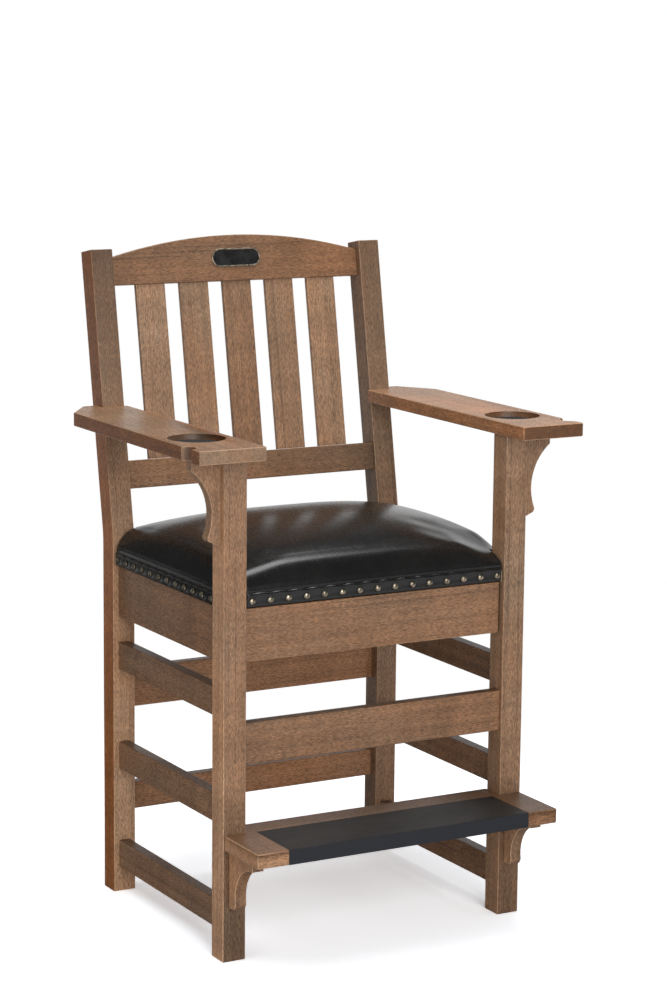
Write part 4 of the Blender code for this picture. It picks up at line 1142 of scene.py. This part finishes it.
def pucker(mesh, shape):
    # each nail pulls the ridge down and the band in, and the leather stands out between the nails
    nails, edge = nailShape, shape["ledge"]
    lowest, highest = shape["puckered"]
    acrossSteps, alongSteps = nailSteps(2 * nails["inner"]), nailSteps(nails["far"] - nails["near"])
    for vert in mesh.verts:
        x, y, z = vert.co
        if not lowest < z < highest:
            continue
        atFront, atRear = y < shape["front"] + edge, y > shape["rear"] - edge
        if atFront or atRear:
            steps, run, inward = acrossSteps, x + nails["inner"], Vector(rearward if atFront else frontward)
        elif abs(x) > shape["half"] - edge:
            steps, run, inward = alongSteps, y - nails["near"], Vector(leftward if x > 0 else rightward)
        else:
            continue
        pull = math.cos(math.tau * (run - steps[0]) / (steps[1] - steps[0]))
        onRidge = math.exp(-((z - shape["ridge"]) / shape["waveHalf"]) ** 2)
        onNails = math.exp(-((z - nails["height"]) / shape["dimpleHalf"]) ** 2)
        vert.co.z -= shape["wave"] * pull * onRidge
        vert.co += inward * shape["dimple"] * (1 + pull) / 2 * onNails


def carryRow(mesh, shape, level, inset, share=1.0, wall=0.0):
    # a further row below the last one; wall is how far it lies behind the notches' own faces
    half, notch, reach, near = shape["half"], shape["notchX"], shape["ledgeReach"], shape["cell"] / 2
    front, rear, notchFront, notchRear = (shape[k] for k in ("front", "rear", "notchFront", "notchRear"))
    rim = [e for e in mesh.edges if e.is_boundary]
    for vert in vertsOf(bmesh.ops.extrude_edge_only(mesh, edges=rim)["geom"]):
        x, y = abs(vert.co.x), vert.co.y
        vert.co.z += (level - vert.co.z) * share
        if abs(x - notch) < near and not notchFront + near < y < notchRear - near:
            vert.co.x = math.copysign(notch - wall, vert.co.x)
        if x > notch - near and abs(y - notchFront) < near:
            vert.co.y = notchFront + wall
        elif x > notch - near and abs(y - notchRear) < near:
            vert.co.y = notchRear - wall
        if x > half - reach:
            vert.co.x = math.copysign(half - inset, vert.co.x)
        if y < front + reach:
            vert.co.y = front + inset
        elif y > rear - reach:
            vert.co.y = rear - inset


def seatStart(shape):
    # crowned sheet notched at its four corners, with sides, a nailed band and a flat bed on the board
    half, notch, cell, ledge = shape["half"], shape["notchX"], shape["cell"], shape["ledge"]
    steps = [ledge + step for step in shape["edgeSteps"]]
    xLines = [d - half for d in steps] + spread(-notch, notch, cell) + [notch] + [half - d for d in steps[::-1]]
    yLines = [shape["front"] + d for d in steps] + spread(shape["notchFront"], shape["notchRear"], cell)
    yLines += [shape["notchRear"]] + [shape["rear"] - d for d in steps[::-1]]

    def keep(middle):
        return abs(middle.x) < notch or shape["notchFront"] < middle.y < shape["notchRear"]

    mesh = gridSheet(xLines, yLines, 0, keep)
    for vert in mesh.verts:
        vert.co.z = shape["rim"] + crownRise(shape, vert.co.x, vert.co.y)
    rows = shape["valleyRows"]
    for row in range(rows):   # from the crown's edge down into the valley over the band
        inset = ledge + (shape["valleyInset"] - ledge) * (row + 1) / rows
        carryRow(mesh, shape, shape["valley"], inset, 1 / (rows - row))
    for level, inset in shape["band"]:
        carryRow(mesh, shape, level, inset)
    for level, inset, wall in shape["hem"]:   # turned in under the board's edge, and up to the bed
        carryRow(mesh, shape, level, inset, wall=wall)
    pucker(mesh, shape)
    bed = bmesh.ops.holes_fill(mesh, edges=[e for e in mesh.edges if e.is_boundary], sides=0)["faces"]
    bmesh.ops.triangulate(mesh, faces=bed, quad_method="BEAUTY", ngon_method="BEAUTY")
    moveMesh(mesh, Matrix.Translation((0, legFront, 0)))
    return mesh


def swell(piece, setup):
    # cloth with pressure, held from the rim down, and no point moved further than the cap
    held = piece.vertex_groups.new(name="held")
    low = [v.index for v in piece.data.vertices if v.co.z < setup["heldBelow"]]
    held.add(low, 1.0, "REPLACE")
    before = [v.co.copy() for v in piece.data.vertices]
    cloth = piece.modifiers.new("swell", "CLOTH")
    settings = cloth.settings
    settings.quality = setup["quality"]
    settings.mass = setup["mass"]
    settings.tension_stiffness = settings.compression_stiffness = setup["stiffness"]
    settings.bending_stiffness = setup["bending"]
    settings.use_pressure = True
    settings.uniform_pressure_force = setup["pressure"]
    settings.effector_weights.gravity = 0
    settings.vertex_group_mass = "held"
    cloth.point_cache.frame_start = 1
    cloth.point_cache.frame_end = setup["frames"]
    for step in range(1, setup["frames"] + 1):
        scene.frame_set(step)
    swollen = piece.evaluated_get(bpy.context.evaluated_depsgraph_get()).data
    moves = [now.co - was for now, was in zip(swollen.vertices, before)]
    piece.modifiers.remove(cloth)
    piece.vertex_groups.remove(held)
    scene.frame_set(1)
    print("seat swelled, most", round(max(move.length for move in moves) * 1000, 1), "mm before the cap")
    moves = [move * min(1, setup["most"] / max(move.length, 1e-9)) for move in moves]
    fixed = set(low)
    near = [[] for v in moves]
    for edge in piece.data.edges:
        first, second = edge.vertices
        near[first].append(second)
        near[second].append(first)
    for step in range(setup["calm"]):   # neighbours move alike, so that the swelling stays even
        moves = [m if i in fixed else (m + sum((moves[k] for k in near[i]), Vector())) / (len(near[i]) + 1)
                 for i, m in enumerate(moves)]
    for vert, was, move in zip(piece.data.vertices, before, moves):
        vert.co = was + move


def keepClear(piece, shape):
    # leather stays off the legs and posts
    edgeX = shape["legX"] - shape["clear"]
    for vert in piece.data.vertices:
        y = vert.co.y - legFront
        gapFront = shape["legDeep"] + shape["clear"] - y
        gapRear = y - (shape["postFront"] - shape["clear"])
        depth = max(gapFront, gapRear)
        if abs(vert.co.x) <= edgeX or depth <= 0:
            continue
        if abs(vert.co.x) - edgeX < depth:
            vert.co.x = math.copysign(edgeX, vert.co.x)
        elif gapFront > 0:
            vert.co.y += gapFront
        else:
            vert.co.y -= gapRear


def makeSeat(shape):
    mesh = seatStart(shape)
    setOrder(mesh)
    seat = addPiece("seatCushion", mesh, blackLeather, ["seat_cover", "seat_foam"], flatFaces=False)
    swell(seat, swellSetup)
    keepClear(seat, shape)
    rounder = seat.modifiers.new("rounder", "SUBSURF")
    rounder.levels = rounder.render_levels = 1

    low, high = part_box("seat_board")
    notchX, near, far = shape["boardX"], legFront + shape["boardFront"], legFront + shape["boardRear"]
    board = gridSheet([low.x, -notchX, notchX, high.x], [low.y, near, far, high.y], low.z,
                      lambda m: abs(m.x) < notchX or near < m.y < far)
    raiseFaces(board, board.faces[:], (0, 0, high.z - low.z))
    layPlies(board, 0, 2, low.z)
    addPiece("seatBoard", board, barePlywood, ["seat_board"])


makeSeat(seatShape)
print("seat ready")


def nailHead(shape, turn):
    # half a ball pressed flat, lightly beaten, with a short skirt that goes into the leather
    head = newMesh()
    wornAndPaintedLight = head.verts.layers.float["edgeWearAndPaintedLight"]
    bmesh.ops.create_icosphere(head, subdivisions=3, radius=1)
    cutAcross(head, (0, 0, 0), upward, clear=True)
    shift = Vector((turn * shape["dentShift"], turn, 0))
    for vert in head.verts:
        ball = vert.co.copy()
        dent = noise.noise(ball * shape["dents"] + shift) * shape["beaten"]
        # painted shade at the foot of the dome
        vert[wornAndPaintedLight] = clampShare((shape["ringTop"] - ball.z) / shape["ringSoft"])   # dark round the dome's foot
        vert.co = (ball.x * shape["radius"], ball.y * shape["radius"], ball.z * (shape["dome"] + dent))
    grown = bmesh.ops.extrude_edge_only(head, edges=[e for e in head.edges if e.is_boundary])["geom"]
    bmesh.ops.translate(head, verts=vertsOf(grown), vec=(0, 0, -shape["skirt"]))
    bmesh.ops.holes_fill(head, edges=[e for e in head.edges if e.is_boundary], sides=0)
    data = bpy.data.meshes.new("nailHead")
    head.to_mesh(data)
    head.free()
    return data


def addNail(mesh, shape, place, outward, turn):
    head = nailHead(shape, turn)
    facing = outward.to_track_quat("Z", "Y").to_matrix().to_4x4() @ Matrix.Rotation(turn, 4, "Z")
    head.transform(Matrix.Translation(place + outward * shape["set"]) @ facing)
    mesh.from_mesh(head)
    bpy.data.meshes.remove(head)


def makeNails(shape):
    inner, near, far = shape["inner"], legFront + shape["near"], legFront + shape["far"]
    sunk = shape["sink"] + seatShape["dimple"]
    side = seatShape["half"] - sunk
    front = legFront + seatShape["front"] + sunk
    rear = legFront + seatShape["rear"] - sunk
    z = shape["height"]
    for row, name, start, end, outward in (
        ("front", "Front", (-inner, front, z), (inner, front, z), frontward),
        ("rear", "Rear", (-inner, rear, z), (inner, rear, z), rearward),
        ("left", "Left", (-side, near, z), (-side, far, z), leftward),
        ("right", "Right", (side, near, z), (side, far, z), rightward),
    ):
        start, end = Vector(start), Vector(end)
        run = (end - start).normalized()
        mesh = newMesh()
        for i, step in enumerate(nailSteps((end - start).length)):
            addNail(mesh, shape, start + run * step, Vector(outward), i * shape["turn"])
        addPiece("seatNails" + name, mesh, antiqueBrass, ["seat_nails_" + row], flatFaces=False)


makeNails(nailShape)
print("nails ready")
